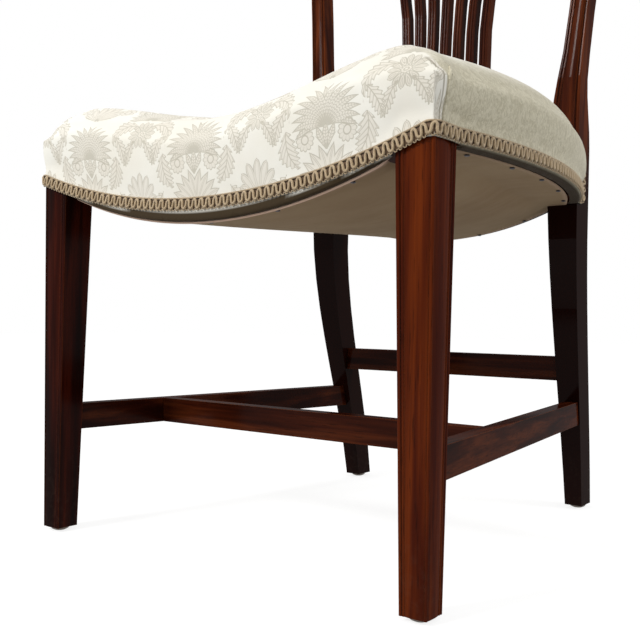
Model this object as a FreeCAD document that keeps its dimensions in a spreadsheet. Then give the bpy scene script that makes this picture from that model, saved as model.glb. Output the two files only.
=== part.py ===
import FreeCAD, Part
import math
import os

import Sketcher
from FreeCAD import Placement, Rotation, Vector

# A side chair with a stuffed-over, dished seat and a back that flares like a shield.
# Millimetres. X runs across the seat, Y from front to back, Z up from the floor.
# The origin is on the floor, midway across and midway between the front of the braid
# and the back of the rear feet. Pieces on the +X side are modelled, and their partners mirrored.

doc = FreeCAD.newDocument("SideChair")
sheet = doc.addObject("Spreadsheet::Sheet", "Sizes")
rows = []


def dimension(alias, number, meaning):
    """Give the next row of the sheet a driving size."""
    rows.append(alias)
    row = len(rows)
    sheet.set(f"A{row}", meaning)
    sheet.set(f"B{row}", number)
    sheet.setAlias(f"B{row}", alias)


# Whole chair
dimension("overall_depth", "555", "front of the braid to the back of the rear feet")
dimension("overall_height", "960", "floor to the top of the crest")

# Front legs and glides
dimension("front_width", "514", "over the front legs")
dimension("leg_top", "38", "side of the square front leg at the rails")
dimension("leg_foot", "27", "side of the front leg at the floor")
dimension("moulding_depth", "1.1", "depth of the quirks between the mouldings")
dimension("glide_height", "4.5", "height of a nailed glide")
dimension("glide_diameter", "22", "diameter of a glide")
dimension("glide_flat", "12", "diameter of the flat that a glide stands on")
dimension("nail_diameter", "2.4", "shank of a glide")
dimension("nail_length", "14", "length of a glide's shank")

# Seat frame
dimension("seat_depth", "441", "front face of the legs to front face of the back posts")
dimension("rear_width", "413", "over the back posts at the rails")
dimension("rail_bottom", "398", "floor to the lower edge of the side rails")
dimension("side_rail_height", "49", "height of the side rails")
dimension("rail_thickness", "24", "thickness of front and side rails at their ends")
dimension("rear_rail_thickness", "28", "thickness of the rear rail")
dimension("rear_rail_setback", "6", "rear rail behind the front of the posts")
dimension("front_rail_drop", "9", "ends of the front rail below the side rails")
dimension("front_dish", "43", "dip of the front rail")
dimension("rear_dish", "35", "dip of the rear rail's lower edge")
dimension("rear_top_dish", "32", "dip of the rear rail's upper edge")
dimension("side_bow", "33", "outward bow of a side rail's outer face")
dimension("side_inner_bow", "18", "outward bow of a side rail's inner face")
dimension("tenon_thickness", "10", "thickness of the rail tenons")
dimension("tenon_length", "16", "length of the rail tenons")
dimension("tenon_height", "32", "height of the rail tenons")
dimension("joint_clearance", "0.1", "play on each side of a tenon")
dimension("tenon_root", "1", "how far a tenon is drawn into its own piece")
dimension("rear_tenon_length", "14", "length of the rear rail's tenons")
dimension("side_tenon_front", "19", "outer face of the leg to the side rail's tenon")
dimension("side_tenon_rear", "20", "outer face of the post to the side rail's tenon")

# Back posts
dimension("rear_foot_width", "384", "over the rear feet")
dimension("post_width", "38.5", "width of a back post at the rails")
dimension("post_depth", "39", "depth of a back post at the rails")
dimension("post_block_top", "470", "top of the square part of a back post")
dimension("rear_foot_side", "23", "width of a rear foot")
dimension("rear_foot_depth", "32", "depth of a rear foot")
dimension("stile_width", "24.4", "width of a stile above the seat")
dimension("stile_depth", "23.7", "depth of a stile above the seat")
dimension("stile_flare", "37", "how far a stile leans outward")
dimension("stile_rake", "26.4", "how far a stile leans backward")
dimension("stile_neck", "90", "height over which the post narrows to the stile")
dimension("stile_ease", "3", "how far the stile's face comes forward of the post")
dimension("post_sweep_reach", "480", "height over which the rear leg's sweep is drawn")

# Stretchers
dimension("low_stretcher_bottom", "116", "floor to the side and medial stretchers")
dimension("low_stretcher_height", "30", "height of the side and medial stretchers")
dimension("stretcher_thickness", "17", "thickness of the side and medial stretchers")
dimension("stretcher_inset", "2", "side stretcher behind the outer face of leg and post")
dimension("medial_setback", "154", "front of the legs to the medial stretcher")
dimension("rear_stretcher_bottom", "173", "floor to the rear stretcher")
dimension("rear_stretcher_height", "31.5", "height of the rear stretcher")
dimension("rear_stretcher_thickness", "16", "thickness of the rear stretcher")
dimension("stretcher_tenon", "12", "length of a stretcher tenon")
dimension("stretcher_tenon_thickness", "8", "thickness of a stretcher tenon")
dimension("stretcher_tenon_height", "20", "height of a stretcher tenon")

# Crest, bars and shoe
dimension("crest_rise", "70", "top of the crest above its ends")
dimension("crest_shoulder", "=overall_height - crest_rise", "floor to the ends of the crest rail")
dimension("crest_arch", "22", "rise of the crest rail's lower edge")
dimension("crest_depth", "22", "thickness of the crest rail")
dimension("crest_hump", "190", "width of the hump in the middle of the crest")
dimension("crest_hump_rise", "16", "height of that hump")
dimension("crest_ear_height", "38", "height of the crest rail over its ends")
dimension("crest_ear_width", "16", "width of the round-over at the ends of the crest rail")
dimension("crest_waist", "7", "how far the crest rail's top sinks between hump and ends")
dimension("post_tenon_width", "12", "width of the tenon on top of a back post")
dimension("post_tenon_depth", "10", "depth of the tenon on top of a back post")
dimension("post_tenon_height", "20", "height of the tenon on top of a back post")
dimension("back_bow", "19", "how far the back bows backward in the middle")
dimension("bar_count", "7", "upright bars in the back")
dimension("bar_width", "12.4", "width of a bar")
dimension("bar_depth", "13", "depth of a bar")
dimension("reed_depth", "0.9", "depth of the quirks between a bar's reeds")
dimension("waist_height", "645", "floor to the waist of the bars")
dimension("waist_pitch", "20.6", "spacing of the bars at the waist")
dimension("head_pitch", "46", "spacing of the bars at the crest")
dimension("foot_pitch", "21.5", "spacing of the bars at the shoe")
dimension("bar_tenon", "9", "length of a bar's tenon")
dimension("bar_tenon_side", "6", "side of a bar's square tenon")
dimension("bar_housing", "12", "how deep the bars stand in the shoe")
dimension("shoe_width", "172", "width of the shoe")
dimension("shoe_depth", "17", "depth of the shoe")
dimension("shoe_top", "470", "floor to the top of the shoe")
dimension("shoe_setback", "16", "shoe behind the front of the posts")

# Upholstery
dimension("block_leg", "45", "length of a corner block along its rails")
dimension("block_height", "30", "height of a corner block")
dimension("screw_diameter", "4", "shank of a corner block screw")
dimension("screw_head", "8", "head of a corner block screw")
dimension("screw_bite", "14", "how deep a screw goes into a rail")
dimension("screw_set", "19", "a screw's head from the rail, along the screw")
dimension("screw_head_height", "2.5", "height of a corner block screw's head")
dimension("screw_place", "21", "a screw from the end of its block")
dimension("screw_step", "4", "each screw above or below the middle of its block")
dimension("well_reach", "40", "length of the hole that lets a screw's head in")
dimension("strap_width", "50", "width of a webbing strap")
dimension("strap_thickness", "2", "thickness of a webbing strap")
dimension("strap_count", "4", "straps each way")
dimension("hessian_thickness", "1", "thickness of the hessian")
dimension("cover_thickness", "1.6", "thickness of the damask and its wadding")
dimension("soft_clearance", "0.4", "room between cloth and wood")
dimension("cloth_gap", "0.2", "play between one layer of cloth and the next")
dimension("seat_rise", "33", "crest of the seat over the front legs above the rails")
dimension("seat_back_fall", "14", "crest of the seat lower at the back posts")
dimension("seat_side_rise", "6", "crest of the seat higher in the middle of its sides")
dimension("seat_dip", "30", "how far the seat dips in the middle")
dimension("side_swell", "5", "how far the sides of the seat swell")
dimension("swell_start", "60", "distance behind the front over which the swell begins")
dimension("shoulder_width", "44", "width of the rounded shoulder of the seat")
dimension("shoulder_drop", "34", "drop of the rounded shoulder of the seat")
dimension("front_roll", "26", "radius of the front edge of the seat")
dimension("rear_roll", "12", "radius of the rear edge of the seat")
dimension("corner_radius", "7", "plan radius of the front corners of the cover")
dimension("braid_width", "13", "width of the gimp braid")
dimension("braid_thickness", "2", "thickness of the gimp braid")
dimension("braid_rise", "9", "braid above the lower edge of the front rail")
dimension("braid_return", "9", "width of the braid that turns up beside a post")
dimension("braid_return_top", "462", "floor to the top of the braid beside a post")
dimension("cloth_thickness", "1.2", "thickness of the bottom cloth")
dimension("cloth_inset", "14", "edge of the bottom cloth in from the side rails' faces")
dimension("cloth_front_inset", "5", "edge of the bottom cloth behind the front rail's face")
dimension("deck_inset", "6", "edge of the hessian in from the side rails' faces")
dimension("deck_front_inset", "4", "edge of the straps behind the front rail's face")
dimension("strap_margin", "24", "outer straps in from the legs or posts")
dimension("strap_end", "13", "end of a crosswise strap in from a side rail's face")
dimension("strap_first", "60", "first and last crosswise strap from leg or post")
dimension("tack_head", "6", "diameter of a tack's head")
dimension("tack_proud", "0.8", "thickness of a tack's head under the cloth")
dimension("tack_shank", "1.4", "diameter of a tack's shank")
dimension("tack_length", "9", "length of a tack's shank")
dimension("tack_margin", "5", "tacks in from the edge of the bottom cloth")
dimension("tacks_per_side", "5", "tacks along each edge of the bottom cloth")

doc.recompute()


def value(expression):
    """Work out an expression that reads the sheet."""
    return float(sheet.evalExpression(expression))


def size(alias):
    """Read one driving size."""
    return float(getattr(sheet, alias))


# Lines and faces that several pieces share, as expressions and as numbers
COVER_LAY = "(Sizes.soft_clearance + Sizes.cover_thickness)"
LEG_FRONT = f"({COVER_LAY} + Sizes.cloth_gap + Sizes.braid_thickness - Sizes.overall_depth / 2)"
LEG_BACK = f"({LEG_FRONT} + Sizes.leg_top)"
POST_FRONT = f"({LEG_FRONT} + Sizes.seat_depth)"
LEG_OUTER = "(Sizes.front_width / 2)"
LEG_INNER = "(Sizes.front_width / 2 - Sizes.leg_top)"
POST_OUTER = "(Sizes.rear_width / 2)"
POST_INNER = "(Sizes.rear_width / 2 - Sizes.post_width)"
FRAME_TOP = "(Sizes.rail_bottom + Sizes.side_rail_height)"
RAIL_MIDDLE = "(Sizes.rail_bottom + Sizes.side_rail_height / 2)"
REAR_RAIL_FRONT = f"({POST_FRONT} + Sizes.rear_rail_setback)"
SHOE_FRONT = f"({POST_FRONT} + Sizes.shoe_setback)"
SIDE_SLANT = f"(atan(({LEG_OUTER} - {POST_OUTER}) / ({POST_FRONT} - {LEG_BACK})))"

leg_front = value(LEG_FRONT)
leg_back = value(LEG_BACK)
post_front = value(POST_FRONT)
leg_outer = value(LEG_OUTER)
leg_inner = value(LEG_INNER)
post_outer = value(POST_OUTER)
post_inner = value(POST_INNER)
frame_top = value(FRAME_TOP)
rail_middle = value(RAIL_MIDDLE)
rear_rail_front = value(REAR_RAIL_FRONT)
shoe_front = value(SHOE_FRONT)
shoe_middle = shoe_front + size("shoe_depth") / 2
foot_back = size("overall_depth") / 2

parts = {}


def name_part(obj, label):
    """Mark an object as a finished piece of the chair."""
    obj.Label = label
    parts[label] = obj
    return obj


def shape_object(label, shape):
    """Hold a shape that is worked out from the sheet in a document object."""
    obj = doc.addObject("Part::Feature", label)
    obj.Shape = shape
    return obj


def cut(base, tools, name):
    """Take one or more tools away from a base."""
    tool = tools[0]
    if len(tools) > 1:
        tool = doc.addObject("Part::MultiFuse", f"{name}_tools")
        tool.Shapes = tools
    result = doc.addObject("Part::Cut", name)
    result.Base = base
    result.Tool = tool
    return result


def fuse(pieces, name):
    """Join pieces of one timber into one solid."""
    result = doc.addObject("Part::MultiFuse", name)
    result.Shapes = pieces
    result.Refine = True
    return result


def box(name, corner, lengths):
    """A box whose corner and lengths are expressions."""
    obj = doc.addObject("Part::Box", name)
    for prop, expression in zip(("Length", "Width", "Height"), lengths):
        obj.setExpression(prop, expression)
    for axis, expression in zip("xyz", corner):
        obj.setExpression(f"Placement.Base.{axis}", expression)
    return obj


def grown_box(name, corner, lengths, margin):
    """The same box, larger by a margin on every side."""
    low = [f"({c}) - {margin}" for c in corner]
    long = [f"({n}) + 2 * {margin}" for n in lengths]
    return box(name, low, long)


def mirror(source, label):
    """The partner of a piece on the other side of the chair."""
    obj = doc.addObject("Part::Mirroring", label)
    obj.Source = source
    obj.Normal = Vector(1, 0, 0)
    obj.Base = Vector(0, 0, 0)
    return name_part(obj, label)


def outline(body, name, role, corners, offset="0"):
    """A closed sketch of lines and arcs, each point held by distances that read the sheet.

    A corner is (across, up), or (across, up, across, up) where the line that leaves it
    is an arc through the second point.
    """
    sketch = body.newObject("Sketcher::SketchObject", name)
    plane = [f for f in body.Origin.OriginFeatures if f.Role == role][0]
    sketch.AttachmentSupport = [(plane, "")]
    sketch.MapMode = "FlatFace"
    sketch.setExpression("AttachmentOffset.Base.z", offset)
    spots = [Vector(value(c[0]), value(c[1]), 0) for c in corners]
    ends = []
    for index, corner in enumerate(corners):
        start = spots[index]
        stop = spots[(index + 1) % len(spots)]
        if len(corner) == 2:
            edge = sketch.addGeometry(Part.LineSegment(start, stop), False)
            ends.append((edge, 1, 2))
            continue
        middle = Vector(value(corner[2]), value(corner[3]), 0)
        turns_left = (middle - start).cross(stop - middle).z > 0
        points = (start, middle, stop) if turns_left else (stop, middle, start)
        edge = sketch.addGeometry(Part.Arc(*points), False)
        ends.append((edge, 1, 2) if turns_left else (edge, 2, 1))
        point = sketch.addGeometry(Part.Point(middle), True)
        hold(sketch, point, 1, corner[2], corner[3])
        sketch.addConstraint(Sketcher.Constraint("PointOnObject", point, 1, edge))
    for index, (edge, first, last) in enumerate(ends):
        following = ends[(index + 1) % len(ends)]
        sketch.addConstraint(Sketcher.Constraint("Coincident", edge, last, following[0], following[1]))
        hold(sketch, edge, first, corners[index][0], corners[index][1])
    return sketch


def hold(sketch, edge, point, across, up):
    """Fix a point of a sketch with two distances from its origin."""
    for kind, expression in (("DistanceX", across), ("DistanceY", up)):
        rule = Sketcher.Constraint(kind, -1, 1, edge, point, value(expression))
        sketch.setExpression(f"Constraints[{sketch.addConstraint(rule)}]", expression)


def board(name, role, corners, thickness, offset="0"):
    """A piece sawn from a board: an outline and a thickness."""
    body = doc.addObject("PartDesign::Body", name)
    sketch = outline(body, f"{name}_outline", role, corners, offset)
    doc.recompute()
    pad = body.newObject("PartDesign::Pad", f"{name}_pad")
    pad.Profile = sketch
    pad.setExpression("Length", thickness)
    return body


def loft(sections):
    """A solid of straight runs between closed sections, facing outward."""
    solid = Part.makeLoft(sections, True, True)
    if solid.Volume < 0:
        solid.reverse()
    return solid


def folded(sections):
    """A solid of flat triangles between sections that are lists of as many points each."""
    faces = []
    for near, far in zip(sections[:-1], sections[1:]):
        for index in range(len(near)):
            after = (index + 1) % len(near)
            a, b, c, d = near[index], near[after], far[after], far[index]
            halves = ((a, b, c), (a, c, d))
            if (abs(a.x), a.z) < (abs(b.x), b.z):
                halves = ((a, b, d), (b, c, d))
            for corners in halves:
                if (corners[1] - corners[0]).cross(corners[2] - corners[0]).Length > 1e-6:
                    faces.append(Part.Face(Part.makePolygon([*corners, corners[0]])))
    for section in (sections[0], sections[-1]):
        faces.append(Part.Face(Part.makePolygon([*section, section[0]])))
    shell = Part.makeShell(faces)
    shell.sewShape()
    solid = Part.makeSolid(shell)
    if solid.Volume < 0:
        solid.reverse()
    return solid


def arc_points(start, middle, stop, count):
    """Points along the arc through three points, without its start."""
    curve = Part.Arc(start, middle, stop)
    span = curve.LastParameter - curve.FirstParameter
    return [curve.value(curve.FirstParameter + span * step / count) for step in range(1, count + 1)]


def prism(sides, radius, start, direction, length):
    """A straight piece with a regular many-sided section."""
    turn = Rotation(Vector(0, 0, 1), direction)
    points = []
    for number in range(sides):
        angle = 2 * math.pi * (number + 0.5) / sides
        points.append(start + turn.multVec(Vector(radius * math.cos(angle), radius * math.sin(angle), 0)))
    return Part.Face(Part.makePolygon(points + points[:1])).extrude(direction * length)


def circle_radius(half_span, rise):
    """Radius of a flat arc from half its chord and its rise."""
    return (half_span ** 2 + rise ** 2) / (2 * rise)


def circle_height(half_span, rise, across):
    """Height over its chord of a flat arc, at a distance from its middle."""
    radius = circle_radius(half_span, rise)
    return math.sqrt(radius ** 2 - across ** 2) - (radius - rise)


# Front legs: a moulded taper under the rails and a plain square block between them
def leg_outline(side, corner_x, corner_y):
    """Section of a front leg: beads, quirks and an ovolo on the front and the outer side."""
    def at(along, deep):
        return (f"{corner_x} - {side} * {along}", f"{corner_y} + {deep}")

    def on_side(along, deep):
        return (f"{corner_x} - {deep}", f"{corner_y} + {side} * {along}")

    quirk = f"Sizes.moulding_depth * {side} / Sizes.leg_top"
    return [
        (*at(0.10, quirk), *at(0.44, "0")),
        (*at(0.78, quirk), *at(0.83, f"{quirk} * 0.3")),
        (*at(0.88, quirk), *at(0.94, "0")),
        at(1, quirk),
        at(1, side),
        (*on_side(1, quirk), *on_side(0.94, "0")),
        (*on_side(0.88, quirk), *on_side(0.83, f"{quirk} * 0.3")),
        (*on_side(0.78, quirk), *on_side(0.44, "0")),
        (*on_side(0.10, quirk), *at(0.02, f"{side} * 0.02")),
    ]


def front_leg_blank():
    """The front leg on the +X side, before its mortises."""
    body = doc.addObject("PartDesign::Body", "front_leg_taper")
    foot = outline(body, "front_leg_foot", "XY_Plane",
                   leg_outline("Sizes.leg_foot", LEG_OUTER, LEG_FRONT), "Sizes.glide_height")
    head = outline(body, "front_leg_head", "XY_Plane",
                   leg_outline("Sizes.leg_top", LEG_OUTER, LEG_FRONT), "Sizes.rail_bottom")
    doc.recompute()
    taper = body.newObject("PartDesign::AdditiveLoft", "front_leg_loft")
    taper.Profile = foot
    taper.Sections = [head]
    taper.Ruled = True
    radius = f"(Sizes.corner_radius + {COVER_LAY} / 2)"
    bend = f"{radius} * (1 - sqrt(0.5))"
    corners = [
        (LEG_INNER, LEG_FRONT),
        (f"{LEG_OUTER} - {radius}", LEG_FRONT, f"{LEG_OUTER} - {bend}", f"{LEG_FRONT} + {bend}"),
        (LEG_OUTER, f"{LEG_FRONT} + {radius}"),
        (LEG_OUTER, LEG_BACK),
        (LEG_INNER, LEG_BACK),
    ]
    block = board("front_leg_block", "XY_Plane", corners, "Sizes.side_rail_height", "Sizes.rail_bottom")
    return fuse([body, block], "front_leg_blank")


# Back posts: a leg that sweeps backward, a square block at the rails and a moulded stile
def ease(share):
    """A smooth rise from 0 to 1."""
    return share * share * (3 - 2 * share)


def post_section(height):
    """Outer face, front face, width and depth of a back post at a height."""
    block_top = size("post_block_top")
    if height <= size("rail_bottom"):
        down = (size("rail_bottom") - height) / size("post_sweep_reach")
        foot_down = (size("rail_bottom") - size("glide_height")) / size("post_sweep_reach")
        sweep = ease(down) / ease(foot_down)
        taper = min(1, down / foot_down)
        foot_front = foot_back - size("rear_foot_depth")
        outer = post_outer - (post_outer - size("rear_foot_width") / 2) * sweep
        front = post_front + (foot_front - post_front) * sweep
        wide = size("post_width") - (size("post_width") - size("rear_foot_side")) * taper
        deep = size("post_depth") - (size("post_depth") - size("rear_foot_depth")) * taper
        return outer, front, wide, deep
    up = max(0, height - block_top) / (size("crest_shoulder") - block_top)
    slim = ease(min(1, max(0, height - block_top) / size("stile_neck")))
    outer = post_outer + size("stile_flare") * up ** 1.7
    front = post_front - size("stile_ease") * slim + size("stile_rake") * max(0, (up - 0.18) / 0.82) ** 1.25
    wide = size("post_width") - (size("post_width") - size("stile_width")) * ease(min(1, up / 0.36))
    deep = size("post_depth") - (size("post_depth") - size("stile_depth")) * slim
    return outer, front, wide, deep


def plain_section(height):
    """A rectangular section of the leg below the rails."""
    outer, front, wide, deep = post_section(height)
    corners = [(outer, front), (outer, front + deep), (outer - wide, front + deep), (outer - wide, front)]
    return [Vector(x, y, height) for x, y in corners]


def moulded_section(outer, front, wide, deep, height, quirk, breaks):
    """A section whose front is a row of rounded mouldings.

    Each break is a share of the width, and the flats that round the moulding which starts there.
    """
    points = [Vector(outer, front + quirk, height)]
    for (left, flats), (right, last) in zip(breaks[:-1], breaks[1:]):
        stop = Vector(outer - wide * right, front + quirk, height)
        middle = Vector(outer - wide * (left + right) / 2, front, height)
        points += arc_points(points[-1], middle, stop, flats)
    return points + [Vector(outer - wide, front + deep, height), Vector(outer, front + deep, height)]


STILE_BREAKS = ((0, 3), (0.13, 2), (0.24, 6), (0.72, 3), (0.85, 3), (1, 0))
BAR_BREAKS = ((0, 4), (0.33, 4), (0.67, 4), (1, 0))


def back_post_blank():
    """The back post on the +X side, before its mortises."""
    low = size("glide_height")
    high = size("rail_bottom")
    steps = 9
    heights = [low + (high - low) * i / steps for i in range(steps + 1)]
    leg = folded([plain_section(z) for z in heights])
    block_top = size("post_block_top")
    block = Part.makeBox(size("post_width"), size("post_depth"), block_top - high,
                         Vector(post_inner, post_front, high))
    shoulder = size("crest_shoulder")
    stations = (0, 0.05, 0.1, 0.15, 0.2, 0.28, 0.4, 0.55, 0.7, 0.85, 1)
    sections = []
    for share in stations:
        height = block_top + (shoulder - block_top) * share
        outer, front, wide, deep = post_section(height)
        sections.append(moulded_section(outer, front, wide, deep, height,
                                        size("moulding_depth"), STILE_BREAKS))
    stile = folded(sections)
    post = leg.fuse([block, stile]).removeSplitter()
    return shape_object("back_post_blank", post)


def back_middle(height):
    """Y of the middle of the back's thickness, on the centre line, at a height."""
    foot = shoe_middle
    head_outer, head_front, head_wide, head_deep = post_section(size("crest_shoulder"))
    head = head_front + head_deep / 2 + size("back_bow")
    share = (height - size("shoe_top")) / (size("crest_shoulder") - size("shoe_top"))
    return foot + (head - foot) * max(0, share) ** 1.6


def back_surface(across, height):
    """Y of the middle of the back's thickness at a distance from the centre line."""
    reach = post_section(size("crest_shoulder"))[0]
    share = max(0, (height - size("shoe_top")) / (size("crest_shoulder") - size("shoe_top")))
    return back_middle(height) - size("back_bow") * share * (across / reach) ** 2


# Crest rail: bandsawn to its serpentine outline and to the bow of the back
def crest_blank():
    """The crest rail before its mortises."""
    outer, front, wide, deep = post_section(size("crest_shoulder"))
    low = size("crest_shoulder")
    top = size("overall_height")
    hump = size("crest_hump") / 2
    hump_foot = top - size("crest_hump_rise")
    ear_top = low + size("crest_ear_height")
    ear = size("crest_ear_width")
    ear_in = outer - ear
    dip = Vector((hump + ear_in) / 2, 0, (hump_foot + ear_top) / 2 - size("crest_waist"))
    bend = Vector(outer - ear * 0.25, 0, ear_top - ear * 0.3)
    right = [
        Part.Arc(Vector(hump, 0, hump_foot), dip, Vector(ear_in, 0, ear_top)).toShape(),
        Part.Arc(Vector(ear_in, 0, ear_top), bend, Vector(outer, 0, ear_top - ear)).toShape(),
        Part.LineSegment(Vector(outer, 0, ear_top - ear), Vector(outer, 0, low)).toShape(),
        Part.LineSegment(Vector(outer, 0, low), Vector(outer - wide, 0, low)).toShape(),
    ]
    left = [edge.mirror(Vector(0, 0, 0), Vector(1, 0, 0)) for edge in right]
    crown = Part.Arc(Vector(-hump, 0, hump_foot), Vector(0, 0, top), Vector(hump, 0, hump_foot)).toShape()
    under = Part.Arc(Vector(wide - outer, 0, low), Vector(0, 0, low + size("crest_arch")),
                     Vector(outer - wide, 0, low)).toShape()
    wire = Part.Wire(Part.__sortEdges__(right + left + [crown, under]))
    slab = Part.Face(wire).extrude(Vector(0, size("overall_depth"), 0))
    slab.translate(Vector(0, leg_front, 0))
    bow = loft([crest_band(height, outer + ear) for height in (low - ear, top + ear)])
    return shape_object("crest_blank", slab.common(bow))


def crest_band(height, reach):
    """Plan of the crest rail's board at a height."""
    half = size("crest_depth") / 2
    edges = []
    for side in (-half, half):
        middle = Vector(0, back_surface(0, height) + side, height)
        end = back_surface(reach, height) + side
        edges.append(Part.Arc(Vector(-reach, end, height), middle, Vector(reach, end, height)).toShape())
    for across in (-reach, reach):
        end = back_surface(reach, height)
        start = Vector(across, end - half, height)
        edges.append(Part.LineSegment(start, Vector(across, end + half, height)).toShape())
    return Part.Wire(Part.__sortEdges__(edges))


# Bars: reeded, drawn together at the waist and fanned out to the crest
def bar_offset(index, height):
    """X of a bar's middle at a height; index 0 is the middle bar."""
    waist = size("waist_height")
    if height < waist:
        share = min(1, (waist - height) / (waist - size("shoe_top")))
        return index * (size("waist_pitch") + (size("foot_pitch") - size("waist_pitch")) * share ** 2)
    share = (height - waist) / (size("crest_shoulder") - waist)
    return index * (size("waist_pitch") + (size("head_pitch") - size("waist_pitch")) * share ** 1.8)


def bar_blank(index):
    """One bar, from its housing in the shoe to inside the crest."""
    foot = size("shoe_top")
    waist = size("waist_height")
    head = size("crest_shoulder")
    top = head + size("crest_arch") + size("bar_tenon")
    steps = 7
    heights = [foot - size("bar_housing"), foot, (foot + waist) / 2]
    heights += [waist + (top - waist) * step / steps for step in range(steps + 1)]
    sections = []
    for height in heights:
        middle = bar_offset(index, height)
        front = back_surface(middle, height) - size("bar_depth") / 2
        sections.append(moulded_section(middle + size("bar_width") / 2, front, size("bar_width"),
                                        size("bar_depth"), height, size("reed_depth"), BAR_BREAKS))
    return folded(sections)


def crest_under(across):
    """Height of the crest rail's lower edge at a distance from the centre line."""
    outer, front, wide, deep = post_section(size("crest_shoulder"))
    return size("crest_shoulder") + circle_height(outer - wide, size("crest_arch"), across)


def bar_tenon(index, margin):
    """A bar's square tenon in the crest."""
    near = bar_offset(index, size("crest_shoulder"))
    middle = bar_offset(index, crest_under(abs(near)))
    low = crest_under(abs(middle)) - size("tenon_root")
    side = size("bar_tenon_side") + 2 * margin
    corner = Vector(middle - side / 2, back_surface(middle, low) - side / 2, low)
    return Part.makeBox(side, side, size("bar_tenon") + size("tenon_root") + margin, corner)


def make_back(crest):
    """The bars, the crest rail and the shoe, each let into the next."""
    count = int(size("bar_count"))
    blanks = []
    for number in range(count):
        index = number - (count - 1) / 2
        bar = bar_blank(index).cut(crest.Shape)
        bar = sorted(bar.Solids, key=lambda solid: solid.Volume)[-1]
        bar = bar.fuse(bar_tenon(index, 0)).removeSplitter()
        name_part(shape_object(f"splat_bar_{number + 1}", bar), f"splat_bar_{number + 1}")
        blanks.append(index)
    play = size("joint_clearance")
    outer, front, wide, deep = post_section(size("crest_shoulder"))
    sockets = [bar_tenon(index, play) for index in blanks]
    for side in (-1, 1):
        sockets.append(post_tenon(side, play))
    name_part(shape_object("crest_rail", crest.Shape.cut(sockets)), "crest_rail")
    housings = []
    for index in blanks:
        middle = bar_offset(index, size("shoe_top"))
        wide = size("bar_width") + 2 * play
        deep = size("bar_depth") + 2 * play
        corner = Vector(middle - wide / 2, back_surface(middle, size("shoe_top")) - deep / 2,
                        size("shoe_top") - size("bar_housing") - play)
        housings.append(Part.makeBox(wide, deep, 2 * size("bar_housing"), corner))
    return housings


def post_tenon(side, margin):
    """The tenon at the top of a back post; side is 1 on +X and -1 on -X."""
    outer, front, wide, deep = post_section(size("crest_shoulder"))
    thick = size("post_tenon_depth") + 2 * margin
    across = size("post_tenon_width") + 2 * margin
    middle = outer - wide / 2
    low = size("crest_shoulder") - size("tenon_root")
    corner = Vector(side * middle - across / 2, front + deep / 2 - thick / 2, low)
    return Part.makeBox(across, thick, size("post_tenon_height") + margin, corner)


# Seat rails
def front_rail_blank():
    """The dished front rail between the legs."""
    low = "(Sizes.rail_bottom - Sizes.front_rail_drop)"
    corners = [
        (f"-{LEG_INNER}", low, "0", f"{low} - Sizes.front_dish"),
        (LEG_INNER, low),
        (LEG_INNER, FRAME_TOP, "0", f"{FRAME_TOP} - Sizes.front_dish"),
        (f"-{LEG_INNER}", FRAME_TOP),
    ]
    return board("front_rail_board", "XZ_Plane", corners, "Sizes.rail_thickness",
                 f"-({LEG_FRONT} + Sizes.rail_thickness)")


def rear_rail_blank():
    """The dished rear rail between the back posts."""
    corners = [
        (f"-{POST_INNER}", "Sizes.rail_bottom", "0", "Sizes.rail_bottom - Sizes.rear_dish"),
        (POST_INNER, "Sizes.rail_bottom"),
        (POST_INNER, FRAME_TOP, "0", f"{FRAME_TOP} - Sizes.rear_top_dish"),
        (f"-{POST_INNER}", FRAME_TOP),
    ]
    return board("rear_rail_board", "XZ_Plane", corners, "Sizes.rear_rail_thickness",
                 f"-({REAR_RAIL_FRONT} + Sizes.rear_rail_thickness)")


def side_rail_blank():
    """The bowed side rail on the +X side."""
    def bowed(inset, bow):
        x = f"({LEG_OUTER} + {POST_OUTER}) / 2 - {inset} + {bow} * cos({SIDE_SLANT})"
        y = f"({LEG_BACK} + {POST_FRONT}) / 2 + {bow} * sin({SIDE_SLANT})"
        return (x, y)

    thick = "Sizes.rail_thickness"
    corners = [
        (LEG_OUTER, LEG_BACK, *bowed("0", "Sizes.side_bow")),
        (POST_OUTER, POST_FRONT),
        (f"{POST_OUTER} - {thick}", POST_FRONT, *bowed(thick, "Sizes.side_inner_bow")),
        (f"{LEG_OUTER} - {thick}", LEG_BACK),
    ]
    return board("side_rail_board", "XY_Plane", corners, "Sizes.side_rail_height", "Sizes.rail_bottom")


def bowed_face(y, inset, bow):
    """X at a place from front to back on a side rail's face, set in at its ends and bowed outward."""
    span = post_front - leg_back
    slant = math.atan2(leg_outer - post_outer, span)
    half = math.hypot(span, leg_outer - post_outer) / 2
    radius = circle_radius(half, bow)
    centre_x = (leg_outer + post_outer) / 2 - inset - (radius - bow) * math.cos(slant)
    centre_y = (leg_back + post_front) / 2 - (radius - bow) * math.sin(slant)
    return centre_x + math.sqrt(radius ** 2 - (y - centre_y) ** 2)


def side_face(y):
    """X of the outer face of leg, side rail and post, at a place from front to back."""
    if y <= leg_back:
        return leg_outer
    if y >= post_front:
        return post_outer
    return bowed_face(y, 0, size("side_bow"))


def side_inner(y):
    """X of a side rail's inner face at a place from front to back."""
    return bowed_face(y, size("rail_thickness"), size("side_inner_bow"))


TENON_LOW = f"({RAIL_MIDDLE} - Sizes.tenon_height / 2)"
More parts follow.
